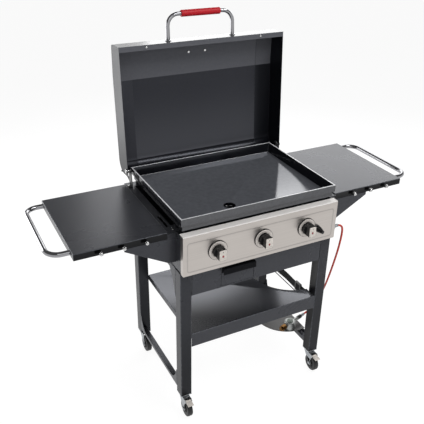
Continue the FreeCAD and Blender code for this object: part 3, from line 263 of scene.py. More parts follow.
@dataclass(frozen=True)
class Finish:
    """One surface finish: two close tones, its gloss, its grain and the record's slot that it fills."""

    name: str
    tone: Triple
    second_tone: Triple
    # The bevelled edges' tone, partly rubbed wear and partly a painted highlight.
    edge_wear_and_highlight_tone: Triple
    roughness: Pair = (0.4, 0.5)
    metallic: float = 0.0
    specular: float = 0.5
    grain: float = 900.0
    stretch: Triple = (1.0, 1.0, 1.0)
    relief: float = 0.03
    anisotropy: float = 0.0
    tint: Triple = (1.0, 1.0, 1.0)
    fade: Fade | None = None
    slot: str = ""

    def material(self) -> bpy.types.Material:
        """The finish as a material.

        Returns:
            The new material.
        """
        material = bpy.data.materials.new(self.name)
        material.use_nodes = True
        bench = Bench(material.node_tree)
        shader = material.node_tree.nodes["Principled BSDF"]
        detail = bench.add("ShaderNodeGroup", node_tree=surface_detail())
        detail.inputs["Grain per metre"].default_value = self.grain
        detail.inputs["Stretch"].default_value = self.stretch
        flat = bench.blend(detail.outputs["Mottle"], linear(self.tone), linear(self.second_tone))
        if self.fade:
            mask = bench.add("ShaderNodeGroup", node_tree=fade_mask())
            mask.inputs["Way"].default_value = self.fade.way
            mask.inputs["From"].default_value, mask.inputs["To"].default_value = self.fade.span
            flat = bench.blend(mask.outputs["Mask"], flat, linear(self.fade.tone))
            if self.fade.specular is not None:
                shines = (self.specular, self.fade.specular)
                shine = bench.spread(mask.outputs["Mask"], (0.0, 1.0), shines)
                material.node_tree.links.new(shine, shader.inputs["Specular IOR Level"])
        # Lighter edges: rubbed wear plus a painted highlight on the rounded edges.
        colour = bench.blend(detail.outputs["Edge"], flat, linear(self.edge_wear_and_highlight_tone))
        gloss = bench.spread(detail.outputs["Smear"], (0.0, 1.0), self.roughness)
        bump = bench.add("ShaderNodeBump", {"Height": detail.outputs["Height"]})
        bump.inputs["Strength"].default_value = BUMP_STRENGTH
        bump.inputs["Distance"].default_value = self.relief * MM
        shader.inputs["Metallic"].default_value = self.metallic
        shader.inputs["Specular IOR Level"].default_value = self.specular
        shader.inputs["Anisotropic"].default_value = self.anisotropy
        shader.inputs["Specular Tint"].default_value = (*self.tint, 1.0)
        links = material.node_tree.links
        links.new(colour, shader.inputs["Base Color"])
        links.new(gloss, shader.inputs["Roughness"])
        links.new(bump.outputs["Normal"], shader.inputs["Normal"])
        return material


@dataclass(frozen=True)
class Weave(Finish):
    """Woven webbing: fine ribs across the strap over the plain finish."""

    rib_pitch: float = 2.2
    rib_height: float = 0.4

    def material(self) -> bpy.types.Material:
        """The webbing with its woven ribs.

        Returns:
            The new material.
        """
        material = super().material()
        bench = Bench(material.node_tree)
        place = bench.add("ShaderNodeTexCoord").outputs["Object"]
        wave_scale = math.tau / (WAVE_TURNS * self.rib_pitch * MM)
        ribs = [
            bench.add(
                "ShaderNodeTexWave", {"Vector": place, "Scale": wave_scale}, bands_direction=axis
            ).outputs[1]
            for axis in ("Y", "Z")
        ]
        shader = material.node_tree.nodes["Principled BSDF"]
        bump = shader.inputs["Normal"].links[0].from_node
        material.node_tree.links.new(bench.math("MULTIPLY", ribs[0], ribs[1]), bump.inputs["Height"])
        bump.inputs["Distance"].default_value = self.rib_height * MM
        return material


# COOL tints the paints' reflections bluish: a painted cool cast of the studio light.
COOL: Triple = (0.86, 0.89, 1.0)
FINISHES: tuple[Finish, ...] = (
    Finish(
        "frame_paint", (56, 57, 61), (60, 61, 65), (92, 94, 99), (0.27, 0.29), specular=0.34,
        relief=0.012, tint=COOL,
    ),
    Finish("lid_paint", (12, 13, 18), (16, 17, 23), (84, 86, 92), (0.22, 0.25), specular=0.28, tint=COOL),
    Finish(
        "stainless", (192, 186, 181), (186, 180, 175), (214, 210, 205), (0.28, 0.34), 1.0,
        grain=2600.0, stretch=(0.006, 1.0, 1.0), relief=0.01, anisotropy=0.4,
    ),
    Finish(
        "griddle_enamel", (12, 13, 17), (16, 17, 21), (96, 98, 103), (0.06, 0.12),
        grain=420.0, relief=0.02, tint=COOL,
    ),
    Finish(
        "bright_steel", (198, 198, 198), (192, 192, 192), (214, 214, 213), (0.07, 0.11), 1.0,
        relief=0.008,
    ),
    Finish("zinc_steel", (168, 171, 174), (150, 154, 158), (196, 198, 200), (0.26, 0.38), 1.0, grain=500.0),
    Finish("brass", (112, 82, 44), (96, 68, 34), (150, 116, 68), (0.24, 0.36), 1.0, grain=600.0),
    Finish(
        "cast_alloy", (162, 164, 162), (146, 148, 146), (190, 191, 190), (0.34, 0.46), 0.9,
        grain=700.0, relief=0.08,
    ),
    Finish("black_plastic", (16, 16, 18), (21, 21, 23), (40, 40, 43), (0.30, 0.40), grain=1500.0),
    Finish(
        "pale_plastic", (234, 227, 219), (228, 221, 213), (240, 234, 228), (0.32, 0.42),
        grain=1500.0, relief=0.01,
    ),
    Finish(
        "red_grip", (192, 20, 36), (184, 16, 31), (202, 44, 58), (0.42, 0.50), specular=0.3, grain=1200.0
    ),
    Finish("wheel_rubber", (18, 18, 20), (24, 24, 26), (38, 38, 40), (0.45, 0.58), grain=800.0, relief=0.06),
    Finish("hose_rubber", (206, 50, 22), (190, 40, 16), (220, 80, 50), (0.28, 0.38), grain=600.0),
    Weave("webbing", (9, 9, 11), (13, 13, 15), (24, 24, 27), (0.7, 0.8), specular=0.2, grain=700.0),
)
EXTRA_FINISHES: tuple[Finish, ...] = (
    Finish(
        "regulator_cap", (126, 140, 128), (114, 128, 116), (150, 160, 150), (0.34, 0.44), slot="cast_alloy"
    ),
    Finish("pointer_red", (148, 16, 34), (140, 14, 30), (160, 30, 46), (0.34, 0.42), slot="pale_plastic"),
    Finish(
        "griddle_seasoned", (92, 94, 99), (84, 86, 91), (98, 100, 105), (0.07, 0.15),
        specular=0.42, grain=520.0, relief=0.06, tint=COOL, slot="griddle_enamel",
    ),
    # Lid inside below the crease: painted light, lighter towards the bottom.
    Finish(
        "lid_inside_painted_light", (44, 45, 50), (41, 42, 47), (66, 67, 72), (0.38, 0.42), specular=0.3, tint=COOL,
        fade=Fade((74, 75, 80), (0.0, 0.0, -1.0), (-1.22, -0.93)), slot="lid_paint",
    ),
    Finish(
        "lid_end", (12, 13, 18), (16, 17, 23), (84, 86, 92), (0.30, 0.34), specular=0.16, tint=COOL,
        slot="lid_paint",
    ),
    # Inside of the lid's ends: a lighter grey of painted light that turns to painted shade on the right end.
    Finish(
        "lid_lap_painted_light", (56, 57, 62), (53, 54, 59), (66, 67, 72), (0.38, 0.42), specular=0.3, tint=COOL,
        fade=Fade((9, 10, 15), (1.0, 0.0, 0.0), (0.24, 0.31)), slot="lid_paint",
    ),
    # Lid inside above the crease: a lighter copy of the paint, painted light on that band.
    Finish(
        "lid_inside_lit_band", (92, 93, 98), (88, 89, 94), (98, 99, 103), (0.38, 0.42),
        specular=0.3, tint=COOL, slot="lid_paint",
    ),
    # Lower shelf top: painted shade, dark at the front under the firebox and lighter towards the back, with
    # the gloss fading in step.
    Finish(
        "shelf_painted_shade", (24, 25, 29), (22, 23, 27), (84, 85, 89), (0.17, 0.19), specular=0.1, relief=0.012,
        tint=COOL, fade=Fade((72, 73, 77), (0.45, 0.89, 0.0), (-0.26, -0.07), 0.75), slot="frame_paint",
    ),
    # Legs: painted shade, darker towards the floor.
    Finish(
        "leg_painted_shade", (52, 53, 57), (56, 57, 61), (88, 90, 95), (0.27, 0.30), specular=0.22, relief=0.012,
        tint=COOL, fade=Fade((16, 17, 20), (0.0, 0.0, -1.0), (-0.62, -0.15)), slot="frame_paint",
    ),
    # Painted shade: near black on the front right leg's inner side and on the shelves' front lips.
    Finish(
        "side_painted_shade", (10, 11, 15), (12, 13, 17), (70, 72, 78), (0.34, 0.40), specular=0.2, slot="frame_paint"
    ),
    # Near white: a painted highlight on the panel's folded top.
    Finish("fold_painted_highlight", (236, 233, 230), (230, 227, 224), (240, 238, 236), (0.42, 0.48), slot="stainless"),
    # Darker steel on the embossed border: painted shade that makes the raised line show.
    Finish(
        "border_painted_shade", (174, 169, 165), (168, 163, 159), (188, 184, 180), (0.30, 0.36), 1.0, slot="stainless"
    ),
    Finish(
        "ring_satin", (218, 211, 205), (212, 205, 199), (228, 222, 217), (0.34, 0.40), 0.25,
        slot="bright_steel",
    ),
    Finish(
        "handle_steel", (154, 154, 157), (148, 148, 151), (186, 186, 189), (0.09, 0.13), 1.0, relief=0.008,
        slot="bright_steel",
    ),
    Finish(
        "plate_pale", (88, 87, 86), (82, 81, 80), (108, 107, 106), (0.34, 0.42), slot="frame_paint"
    ),
    # Near white: a painted highlight on the griddle's rim and rear fold.
    Finish(
        "rim_painted_highlight", (236, 237, 240), (214, 215, 219), (240, 241, 243), (0.24, 0.34), slot="griddle_enamel"
    ),
    Finish("wall_front", (88, 89, 93), (80, 81, 85), (110, 111, 115), (0.10, 0.16), slot="griddle_enamel"),
    Finish("hinge_dark", (26, 27, 31), (22, 23, 27), (96, 98, 102), (0.28, 0.36), slot="frame_paint"),
    # A lighter tone on the firebox flanges' level tops.
    Finish("flange_top_tone", (84, 86, 91), (74, 76, 81), (96, 98, 102), (0.40, 0.50), slot="frame_paint"),
    Finish(
        "pull_matte", (8, 9, 13), (11, 12, 17), (26, 27, 31), (0.75, 0.85), specular=0.15, slot="frame_paint"
    ),
    Finish(
        "gap_shade", (3, 3, 4), (4, 4, 5), (5, 5, 6), (0.90, 0.95), specular=0.05, slot="frame_paint"
    ),
)


class FinishShop:
    """Makes each finish's material once and hands it out by name."""

    def __init__(self, finishes: Sequence[Finish]) -> None:
        """Takes the finishes that the object uses."""
        self.materials = {finish.name: finish.material() for finish in finishes}
        self.slots = {finish.name: finish.slot or finish.name for finish in finishes}

    def __getitem__(self, name: str) -> bpy.types.Material:
        """The material of a finish."""
        return self.materials[name]


def placed(name: str, mesh: bpy.types.Mesh) -> Piece:
    """A new object at the origin that holds a mesh.

    Args:
        name: the object's name.
        mesh: its mesh, already in place.

    Returns:
        The linked object.
    """
    piece = bpy.data.objects.new(name, mesh)
    bpy.context.scene.collection.objects.link(piece)
    return piece


def settled(piece: Piece) -> Piece:
    """Turns a piece's modifiers into a plain mesh.

    Args:
        piece: the object with modifiers.

    Returns:
        The same object without modifiers.
    """
    graph = bpy.context.evaluated_depsgraph_get()
    mesh = bpy.data.meshes.new_from_object(piece.evaluated_get(graph))
    piece.modifiers.clear()
    piece.data = mesh
    return piece


def from_bmesh(name: str, shape: bmesh.types.BMesh) -> Piece:
    """A merged, outward-facing, smooth-shaded object from a working mesh.

    Args:
        name: the object's name.
        shape: the working mesh, which is freed.

    Returns:
        The linked object.
    """
    bmesh.ops.remove_doubles(shape, verts=shape.verts, dist=SAME_POINT)
    bmesh.ops.recalc_face_normals(shape, faces=shape.faces)
    mesh = bpy.data.meshes.new(name)
    shape.to_mesh(mesh)
    shape.free()
    mesh.shade_smooth()
    mesh.set_sharp_from_angle(angle=SHARP_EDGE)
    return placed(name, mesh)


@dataclass(frozen=True)
class Fold:
    """A rounded outside fold on the lines of a node's own box."""

    radius: float
    along: str
    sides: tuple[str, ...] = ()

    def holds(self, edge: bmesh.types.BMEdge, low: Vector, high: Vector) -> bool:
        """Whether an edge is one of these folds.

        Args:
            edge: the edge to test.
            low: the node's lowest corner.
            high: the node's highest corner.

        Returns:
            True where the edge runs along a named axis, on two sides of the box.
        """
        first, second = edge.verts[0].co, edge.verts[1].co
        run = second - first
        axis = max(range(3), key=lambda index: abs(run[index]))
        if "xyz"[axis] not in self.along or abs(run[axis]) < STRAIGHT * run.length:
            return False
        touched = set()
        for index, letter in enumerate("xyz"):
            for sign, level in (("-", low[index]), ("+", high[index])):
                if max(abs(first[index] - level), abs(second[index] - level)) < ON_SIDE:
                    touched.add(letter + sign)
        return len(touched) >= 2 and touched.issuperset(self.sides)


def softened(node: str, folds: Sequence[Fold], fine: float) -> Piece:
    """A copy of a CAD node whose folds and edges are rounded, in the same place.

    Args:
        node: the CAD node's name.
        folds: the rounded folds, in millimetres.
        fine: the radius of every other sharp edge, in millimetres.

    Returns:
        The new piece.
    """
    low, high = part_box(node)
    shape = bmesh.new()
    shape.from_mesh(NODES[node].data)
    bmesh.ops.remove_doubles(shape, verts=shape.verts, dist=SAME_POINT)
    bmesh.ops.dissolve_limit(shape, angle_limit=FLAT_ENOUGH, verts=shape.verts, edges=shape.edges)
    widest = max([fold.radius for fold in folds] + [fine])
    weight = shape.edges.layers.float.new("bevel_weight_edge")
    for edge in shape.edges:
        if len(edge.link_faces) == 2 and edge.calc_face_angle() > SHARP_EDGE:
            radii = [fold.radius for fold in folds if fold.holds(edge, low, high)]
            edge[weight] = (radii[0] if radii else fine) / widest
    mesh = bpy.data.meshes.new(node + "_skin")
    shape.to_mesh(mesh)
    shape.free()
    mesh.shade_smooth()
    mesh.materials.clear()
    # Of two empty slots, the bevel's faces take the second, which marks them for the edge tone: rubbed wear
    # and a painted highlight along the rounded edges.
    for _ in ("plain", "edge_wear_and_highlight_mask"):
        mesh.materials.append(None)
    piece = placed(node + "_skin", mesh)
    bevel = piece.modifiers.new("Rounded edges", "BEVEL")
    bevel.limit_method = "WEIGHT"
    bevel.width = widest * MM
    bevel.segments = ROUNDING_STEPS
    bevel.use_clamp_overlap = True
    bevel.material = 1
    normals = piece.modifiers.new("Flat faces", "WEIGHTED_NORMAL")
    normals.weight = FLAT_WEIGHT
    normals.keep_sharp = True
    settled(piece)
    edge_marks = piece.data.attributes.new("edge_wear_and_highlight", "FLOAT", "FACE")
    edge_marks.data.foreach_set("value", [float(face.material_index) for face in piece.data.polygons])
    piece.data.polygons.foreach_set("material_index", [0] * len(piece.data.polygons))
    return piece


@dataclass(frozen=True)
class Patch:
    """The faces whose normal and middle lie within ranges, by axis, and that are wide enough."""

    normal: dict[str, Pair]
    middle: dict[str, Pair] = field(default_factory=dict)
    least_area: float = 0.0

    def holds(self, face: bmesh.types.BMFace) -> bool:
        """Whether a face is part of the patch.

        Args:
            face: the face to test.

        Returns:
            True where every range holds.
        """
        checks = ((face.normal, self.normal), (face.calc_center_median(), self.middle))
        for found, ranges in checks:
            for axis, (low, high) in ranges.items():
                if not low < getattr(found, axis) < high:
                    return False
        return face.calc_area() >= self.least_area


def lifted_faces(name: str, source: Piece, patches: Sequence[Patch], lift: float) -> Piece:
    """A thin skin just over some of a piece's faces.

    Args:
        name: the skin's name.
        source: the piece that it covers.
        patches: the faces that it covers.
        lift: how far it stands off, in millimetres.

    Returns:
        The new piece.
    """
    shape = bmesh.new()
    shape.from_mesh(source.data)
    others = [face for face in shape.faces if not any(patch.holds(face) for patch in patches)]
    bmesh.ops.delete(shape, geom=others, context="FACES")
    for corner in shape.verts:
        corner.co += corner.normal * (lift * MM)
    mesh = bpy.data.meshes.new(name)
    shape.to_mesh(mesh)
    shape.free()
    mesh.shade_flat()
    return placed(name, mesh)


def trimmed(piece: Piece, point: Vector, keep: Vector) -> None:
    """Cuts a piece along a plane and keeps one side.

    Args:
        piece: the piece to cut.
        point: a point on the plane, in metres.
        keep: the way to the side that stays.
    """
    shape = bmesh.new()
    shape.from_mesh(piece.data)
    everything = shape.verts[:] + shape.edges[:] + shape.faces[:]
    bmesh.ops.bisect_plane(shape, geom=everything, plane_co=point, plane_no=keep, clear_inner=True)
    shape.to_mesh(piece.data)
    shape.free()


def lathe(name: str, profile: Sequence[Pair], centre: Vector, axis: Vector, steps: int) -> Piece:
    """A turned shape.

    Args:
        name: the piece's name.
        profile: radius and distance along the axis at each step, in millimetres.
        centre: where the distances start, in metres.
        axis: the way that the distances run.
        steps: faces round the axis.

    Returns:
        The new piece.
    """
    along = axis.normalized()
    across = along.orthogonal().normalized()
    beside = along.cross(across)
    shape = bmesh.new()
    rings = []
    for radius, rise in profile:
        foot = centre + along * (rise * MM)
        count = steps if radius > 0 else 1
        turns = [math.tau * step / steps for step in range(count)]
        rings.append([
            shape.verts.new(foot + (across * math.cos(turn) + beside * math.sin(turn)) * (radius * MM))
            for turn in turns
        ])
    for ring, after in zip(rings, rings[1:]):
        for step in range(steps):
            there = (step + 1) % steps
            corners = (
                ring[step % len(ring)], ring[there % len(ring)],
                after[there % len(after)], after[step % len(after)],
            )
            loop = list(dict.fromkeys(corners))
            if len(loop) > 2:
                shape.faces.new(loop)
    return from_bmesh(name, shape)


def rounded_rectangle(width: float, height: float, corner: float, steps: int = 6) -> list[Pair]:
    """The outline of a rectangle with round corners, about its middle.

    Args:
        width: its width.
        height: its height.
        corner: its corner radius.
        steps: points in each corner, less one.

    Returns:
        The outline's points, anticlockwise.
    """
    points = []
    for quarter, (side, rise) in enumerate(((1, 1), (-1, 1), (-1, -1), (1, -1))):
        centre_x = side * (width / 2 - corner)
        centre_y = rise * (height / 2 - corner)
        for step in range(steps + 1):
            turn = math.pi / 2 * (quarter + step / steps)
            points.append((centre_x + corner * math.cos(turn), centre_y + corner * math.sin(turn)))
    return points


@dataclass(frozen=True)
class Face:
    """A flat place on the object: its middle, its right and its up, seen from outside."""

    middle: Vector
    right: Vector
    up: Vector

    def at(self, across: float, rise: float, out: float) -> Vector:
        """A point on the face.

        Args:
            across: millimetres to the right.
            rise: millimetres up.
            out: millimetres out of the face.

        Returns:
            The point, in metres.
        """
        outward = self.right.cross(self.up)
        return self.middle + (self.right * across + self.up * rise + outward * out) * MM


def stacked(
    name: str, place: Face, loops: Sequence[tuple[Sequence[Pair], float]], closed: bool
) -> Piece:
    """Outlines of equal count joined in turn into a skin.

    Args:
        name: the piece's name.
        place: the face that the outlines lie on.
        loops: each outline and its height out of the face, in millimetres.
        closed: whether the first and last outlines are filled.

    Returns:
        The new piece.
    """
    shape = bmesh.new()
    rings = [[shape.verts.new(place.at(u, v, out)) for u, v in points] for points, out in loops]
    for ring, after in zip(rings, rings[1:]):
        for step, corner in enumerate(ring):
            there = (step + 1) % len(ring)
            shape.faces.new((corner, ring[there], after[there], after[step]))
    if closed:
        shape.faces.new(rings[0])
        shape.faces.new(rings[-1])
    return from_bmesh(name, shape)


def raised_plate(name: str, place: Face, outline: Triple, height: float, edge: float) -> Piece:
    """A plate with round corners and a softened front edge.

    Args:
        name: the piece's name.
        place: the face that it stands on.
        outline: its width, height and corner radius.
        height: its thickness.
        edge: its edge radius.

    Returns:
        The new piece.
    """
    width, tall, corner = outline
    loops = [(rounded_rectangle(width, tall, corner), 0.0)]
    for step in range(ROUNDING_STEPS + 1):
        turn = math.pi / 2 * step / ROUNDING_STEPS
        inset = 2 * edge * (1 - math.cos(turn))
        points = rounded_rectangle(width - inset, tall - inset, max(corner - inset / 2, LEAST_CORNER))
        loops.append((points, height - edge + edge * math.sin(turn)))
    return stacked(name, place, loops, True)


def shade(name: str, place: Face, size: Pair) -> Piece:
    """A thin dark plate of painted shadow that shows the depth of a gap or a notch.

    Args:
        name: the piece's name.
        place: the face that it lies on.
        size: its width and height, in millimetres.

    Returns:
        The new piece.
    """
    corner_share, thickness, edge = 0.3, 0.3, 0.1
    return raised_plate(name, place, (size[0], size[1], corner_share * min(size)), thickness, edge)


class RibRing:
    """A geometry tree that stands blocks in a ring, made once and grown where ribs are needed."""

    def __init__(self) -> None:
        """Makes the tree and its sockets."""
        self.tree = bpy.data.node_groups.new("rib_ring", "GeometryNodeTree")
        sockets = {
            "Count": "NodeSocketInt", "Radius": "NodeSocketFloat", "Rib": "NodeSocketVector",
            "Place": "NodeSocketVector", "Turn": "NodeSocketRotation", "Finish": "NodeSocketMaterial",
        }
        for label, kind in sockets.items():
            self.tree.interface.new_socket(label, in_out="INPUT", socket_type=kind)
        self.tree.interface.new_socket("Geometry", in_out="OUTPUT", socket_type="NodeSocketGeometry")
        bench = Bench(self.tree)
        given = bench.add("NodeGroupInput").outputs
        circle = bench.add(
            "GeometryNodeMeshCircle", {"Vertices": given["Count"], "Radius": given["Radius"]}
        ).outputs[0]
        rib = bench.add("GeometryNodeMeshCube", {"Size": given["Rib"]}).outputs[0]
        position = bench.add("GeometryNodeInputPosition").outputs[0]
        facing = bench.add("FunctionNodeAlignRotationToVector", {"Vector": position}, axis="X").outputs[0]
        ribs = bench.add(
            "GeometryNodeInstanceOnPoints", {"Points": circle, "Instance": rib, "Rotation": facing}
        ).outputs[0]
        stood = bench.add(
            "GeometryNodeTransform",
            {"Geometry": ribs, "Translation": given["Place"], "Rotation": given["Turn"]},
        ).outputs[0]
        real = bench.add("GeometryNodeRealizeInstances", {0: stood}).outputs[0]
        dressed = bench.add("GeometryNodeSetMaterial", {"Geometry": real, "Material": given["Finish"]})
        bench.add("NodeGroupOutput", {0: dressed.outputs[0]})

    def grow(self, name: str, values: dict[str, object]) -> Piece:
        """Grows one ring and keeps it as a plain mesh.

        Args:
            name: the new piece's name.
            values: a value for each of the tree's inputs.

        Returns:
            The new piece, with no modifier left.
        """
        piece = placed(name, bpy.data.meshes.new(name))
        grower = piece.modifiers.new("Grow", "NODES")
        grower.node_group = self.tree
        for item in self.tree.interface.items_tree:
            if item.in_out == "INPUT":
                grower[item.identifier] = values[item.name]
        settled(piece)
        piece.data.shade_smooth()
        piece.data.set_sharp_from_angle(angle=SHARP_EDGE)
        return piece


class Workshop:
    """The finishes and the growing tree that the sub-assemblies share."""

    def __init__(self) -> None:
        """Makes every finish and the tree once."""
        self.finishes = FinishShop(FINISHES + EXTRA_FINISHES)
        self.ribs = RibRing()

    def rib_ring(
        self, name: str, count: int, radius: float, rib: Triple, centre: Vector, axis: Vector, finish: str
    ) -> Piece:
        """A ring of ribs round an axis.

        Args:
            name: the piece's name.
            count: how many ribs.
            radius: the ring's radius, in millimetres.
            rib: a rib's depth, width and length along the axis, in millimetres.
            centre: the ring's middle.
            axis: the ring's axis.
            finish: the ribs' finish.

        Returns:
            The new piece.
        """
        return self.ribs.grow(name, {
            "Count": count, "Radius": radius * MM, "Rib": Vector(rib) * MM, "Place": centre,
            "Turn": axis.to_track_quat("Z", "Y").to_euler(), "Finish": self.finishes[finish],
        })


@dataclass
class SubAssembly:
    """A group of pieces that is built first, then dressed and fixed to its bodies."""

    shop: Workshop
    made: list[tuple[Piece, str, str, tuple[str, ...]]] = field(default_factory=list)

    def keep(self, piece: Piece, body: str, finish: str, *stands_for: str) -> Piece:
        """Notes a piece for dressing.

        Args:
            piece: the new piece.
            body: the CAD body that it rides on.
            finish: its finish.
            stands_for: the CAD nodes that it replaces.

        Returns:
            The same piece.
        """
        self.made.append((piece, body, finish, stands_for))
        return piece

    def soften(
        self, node: str, folds: Sequence[Fold] = (), fine: float = 0.4, finish: str = ""
    ) -> Piece:
        """Replaces a CAD node by its rounded copy.

        Args:
            node: the CAD node's name.
            folds: its rounded folds.
            fine: the radius of its other edges.
            finish: its finish, where it isn't its slot's own.

        Returns:
            The new piece.
        """
        return self.keep(softened(node, folds, fine), BODY_OF[node], finish or SLOT_OF[node], node)

    def skin(
        self, name: str, source: Piece, patches: Sequence[Patch], node: str, finish: str,
        lift: float = SKIN_LIFT,
    ) -> Piece:
        """Covers some faces of a rounded copy with another finish.

        Args:
            name: the skin's name.
            source: the rounded copy.
            patches: the faces that the skin covers.
            node: the CAD node that was copied.
            finish: the skin's finish.
            lift: how far it stands off, in millimetres.

        Returns:
            The new piece.
        """
        return self.keep(lifted_faces(name, source, patches, lift), BODY_OF[node], finish)

    def darken(self, name: str, place: Face, size: Pair) -> None:
        """Lays a dark plate of painted shadow on the cart where a gap or a notch shows.

        Args:
            name: the plate's name.
            place: the face that it lies on.
            size: its width and height, in millimetres.
        """
        self.keep(shade(name, place, size), "cart", "gap_shade")

    def build(self) -> None:
        """Makes the meshes; each sub-assembly has its own."""

    def dress(self) -> None:
        """Gives every piece its finish and fixes it to its body."""
        for piece, body, finish, stands_for in self.made:
            material = self.shop.finishes[finish]
            if piece.data.materials:
                for index in range(len(piece.data.materials)):
                    piece.data.materials[index] = material
            else:
                piece.data.materials.append(material)
            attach(piece, body)
            if stands_for:
                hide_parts(*stands_for)
            LOG.info("%s on %s in %s", piece.name, body, finish)


PLACES = ("front_left", "front_right", "rear_left", "rear_right")
SIDES = (("left", -1), ("right", 1))
RIGHTWARD = Vector((1, 0, 0))
FRONTWARD = Vector((0, -1, 0))
BACKWARD = Vector((0, 1, 0))
UPWARD = Vector((0, 0, 1))


@dataclass
class CartFrame(SubAssembly):
    """Legs, rails, aprons and the storage shelf."""

    leg_corner: float = 3.0
    sheet_fold: float = 2.5
    rail_fold: float = 2.0
    rail_edge: float = 0.5
    plate_edge: float = 0.6
    joint_width: float = 1.8

    def build(self) -> None:
        """Rounds the sheet metal, paints shade on the legs' lower parts, one leg's inner side and the lower
        shelf's front, and lays painted shadow at the apron's joints.
        """
        for place in PLACES:
            node = "leg_" + place
            # The legs' paint carries painted shade, darker towards the floor.
            leg = self.soften(node, [Fold(self.leg_corner, "z")], finish="leg_painted_shade")
            if place == "front_right":
                # Painted shade on this leg's inner side.
                self.skin(node + "_inner", leg, [Patch({"x": AGAINST})], node, "side_painted_shade")
        self.soften("top_side_rails", [Fold(self.rail_fold, "y", ("z+",))], self.rail_edge)
        self.soften("bottom_side_rails", fine=self.plate_edge)
        self.soften("front_apron", [Fold(self.rail_fold, "x", ("y-",))])
        self.soften("rear_rail", [Fold(self.rail_fold, "x", ("y+", "z+"))])
        shelf = self.soften("lower_shelf", [Fold(self.sheet_fold, "xy", ("z+",))])
        # Painted shade on the lower shelf's top, darkest at the front.
        self.skin("lower_shelf_top", shelf, [Patch({"z": LEVEL})], "lower_shelf", "shelf_painted_shade")
        self.soften("caster_stems", fine=self.plate_edge)
        low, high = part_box("front_apron")
        size = (self.joint_width, (high.z - low.z) / MM)
        for name, x in (("left", low.x), ("right", high.x)):
            joint = Face(Vector((x, low.y, (low.z + high.z) / 2)), RIGHTWARD, UPWARD)
            self.darken("apron_joint_" + name, joint, size)


@dataclass
class Caster(SubAssembly):
    """One caster: rounded fork, turned wheel with hub ribs, and the front pair's brake pedal."""

    place: str = "front_left"
    plate_edge: float = 0.8
    side_profile: tuple[Pair, ...] = (
        (4.05, 0.0), (9.0, 0.0), (10.0, 1.0), (10.0, 3.0), (19.0, 3.0),
        (20.5, 1.0), (22.0, 0.4), (24.0, 0.4), (24.6, 1.2), (25.2, 0.4),
    )
    tread_edge: float = 4.0
    tread_steps: int = 4
    wheel_steps: int = 64
    hub_ribs: int = 8
    rib_ring_radius: float = 14.6
    rib_size: Triple = (9.6, 2.4, 2.4)
    rib_depth: float = 1.9

    def build(self) -> None:
        """Turns the wheel from its side profile and rounds the fork and the pedal."""
        self.soften("caster_fork_" + self.place, fine=self.plate_edge)
        node = "caster_wheel_" + self.place
        low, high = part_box(node)
        middle = (low + high) / 2
        half = (high.x - low.x) / 2 / MM
        tread_foot = (high.z - low.z) / 2 / MM - self.tread_edge
        profile = [(reach, depth - half) for reach, depth in self.side_profile]
        for step in range(self.tread_steps + 1):
            turn = math.pi / 2 * step / self.tread_steps
            reach = tread_foot + self.tread_edge * math.sin(turn)
            profile.append((reach, self.tread_edge * (1 - math.cos(turn)) - half))
        mirrored = [(reach, -rise) for reach, rise in reversed(profile)]
        closed = profile + mirrored + profile[:1]
        wheel = lathe(node + "_turned", closed, middle, RIGHTWARD, self.wheel_steps)
        self.keep(wheel, BODY_OF[node], "wheel_rubber", node)
        for name, sign in SIDES:
            face = middle + RIGHTWARD * (sign * (half - self.rib_depth) * MM)
            ribs = self.shop.rib_ring(
                node + "_ribs_" + name, self.hub_ribs, self.rib_ring_radius, self.rib_size, face, RIGHTWARD,
                "wheel_rubber",
            )
            self.keep(ribs, BODY_OF[node], "wheel_rubber")
        brake = "caster_brake_" + self.place
        if brake in NODES:
            self.soften(brake, fine=self.plate_edge)


@dataclass
class Firebox(SubAssembly):
    """The firebox with its flanges, its screws, the tray and the hinge brackets."""

    sheet_edge: float = 0.5
    screw_edge: float = 0.8
    tray_edge: float = 0.3
    bracket_edge: float = 0.6
    pull_fold: float = 1.5
    flange_from: float = 335.0
    slot_place: Pair = (343.0, -125.0)
    slot_size: Pair = (14.0, 94.0)
    slot_depth: float = 3.0
    gap_reach: float = 2.2
    gap_depth: float = 2.6

    def build(self) -> None:
        """Rounds the sheet edges, then shades the slots and the tray's gaps."""
        box = self.soften("firebox", fine=self.sheet_edge)
        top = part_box("firebox")[1].z
        start = self.flange_from * MM
        reaches = ((-OPEN, -start), (start, OPEN))
        flanges = [Patch({"z": LEVEL}, {"x": reach, "z": (top - MM, OPEN)}) for reach in reaches]
        # A lighter tone on the flanges' level tops.
        self.skin("firebox_flanges", box, flanges, "firebox", "flange_top_tone")
        for name, side in SIDES:
            x, y = self.slot_place
            under = Vector((side * x * MM, y * MM, top - self.slot_depth * MM))
            self.darken("flange_slot_" + name, Face(under, RIGHTWARD, BACKWARD), self.slot_size)
        self.soften("frame_screws", fine=self.screw_edge)
        self.soften("drip_tray", fine=self.tray_edge)
        low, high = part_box("drip_tray")
        size = (2 * self.gap_reach, (high.z - low.z) / MM)
        for (name, side), x in zip(SIDES, (low.x, high.x)):
            gap_x = x + side * self.gap_reach * MM
            middle = Vector((gap_x, low.y + self.gap_depth * MM, (low.z + high.z) / 2))
            self.darken("tray_gap_" + name, Face(middle, RIGHTWARD, UPWARD), size)
        self.soften("tray_handle", [Fold(self.pull_fold, "x", ("y-", "z+"))], self.sheet_edge, "pull_matte")
        self.soften("hinge_brackets", fine=self.bracket_edge, finish="hinge_dark")


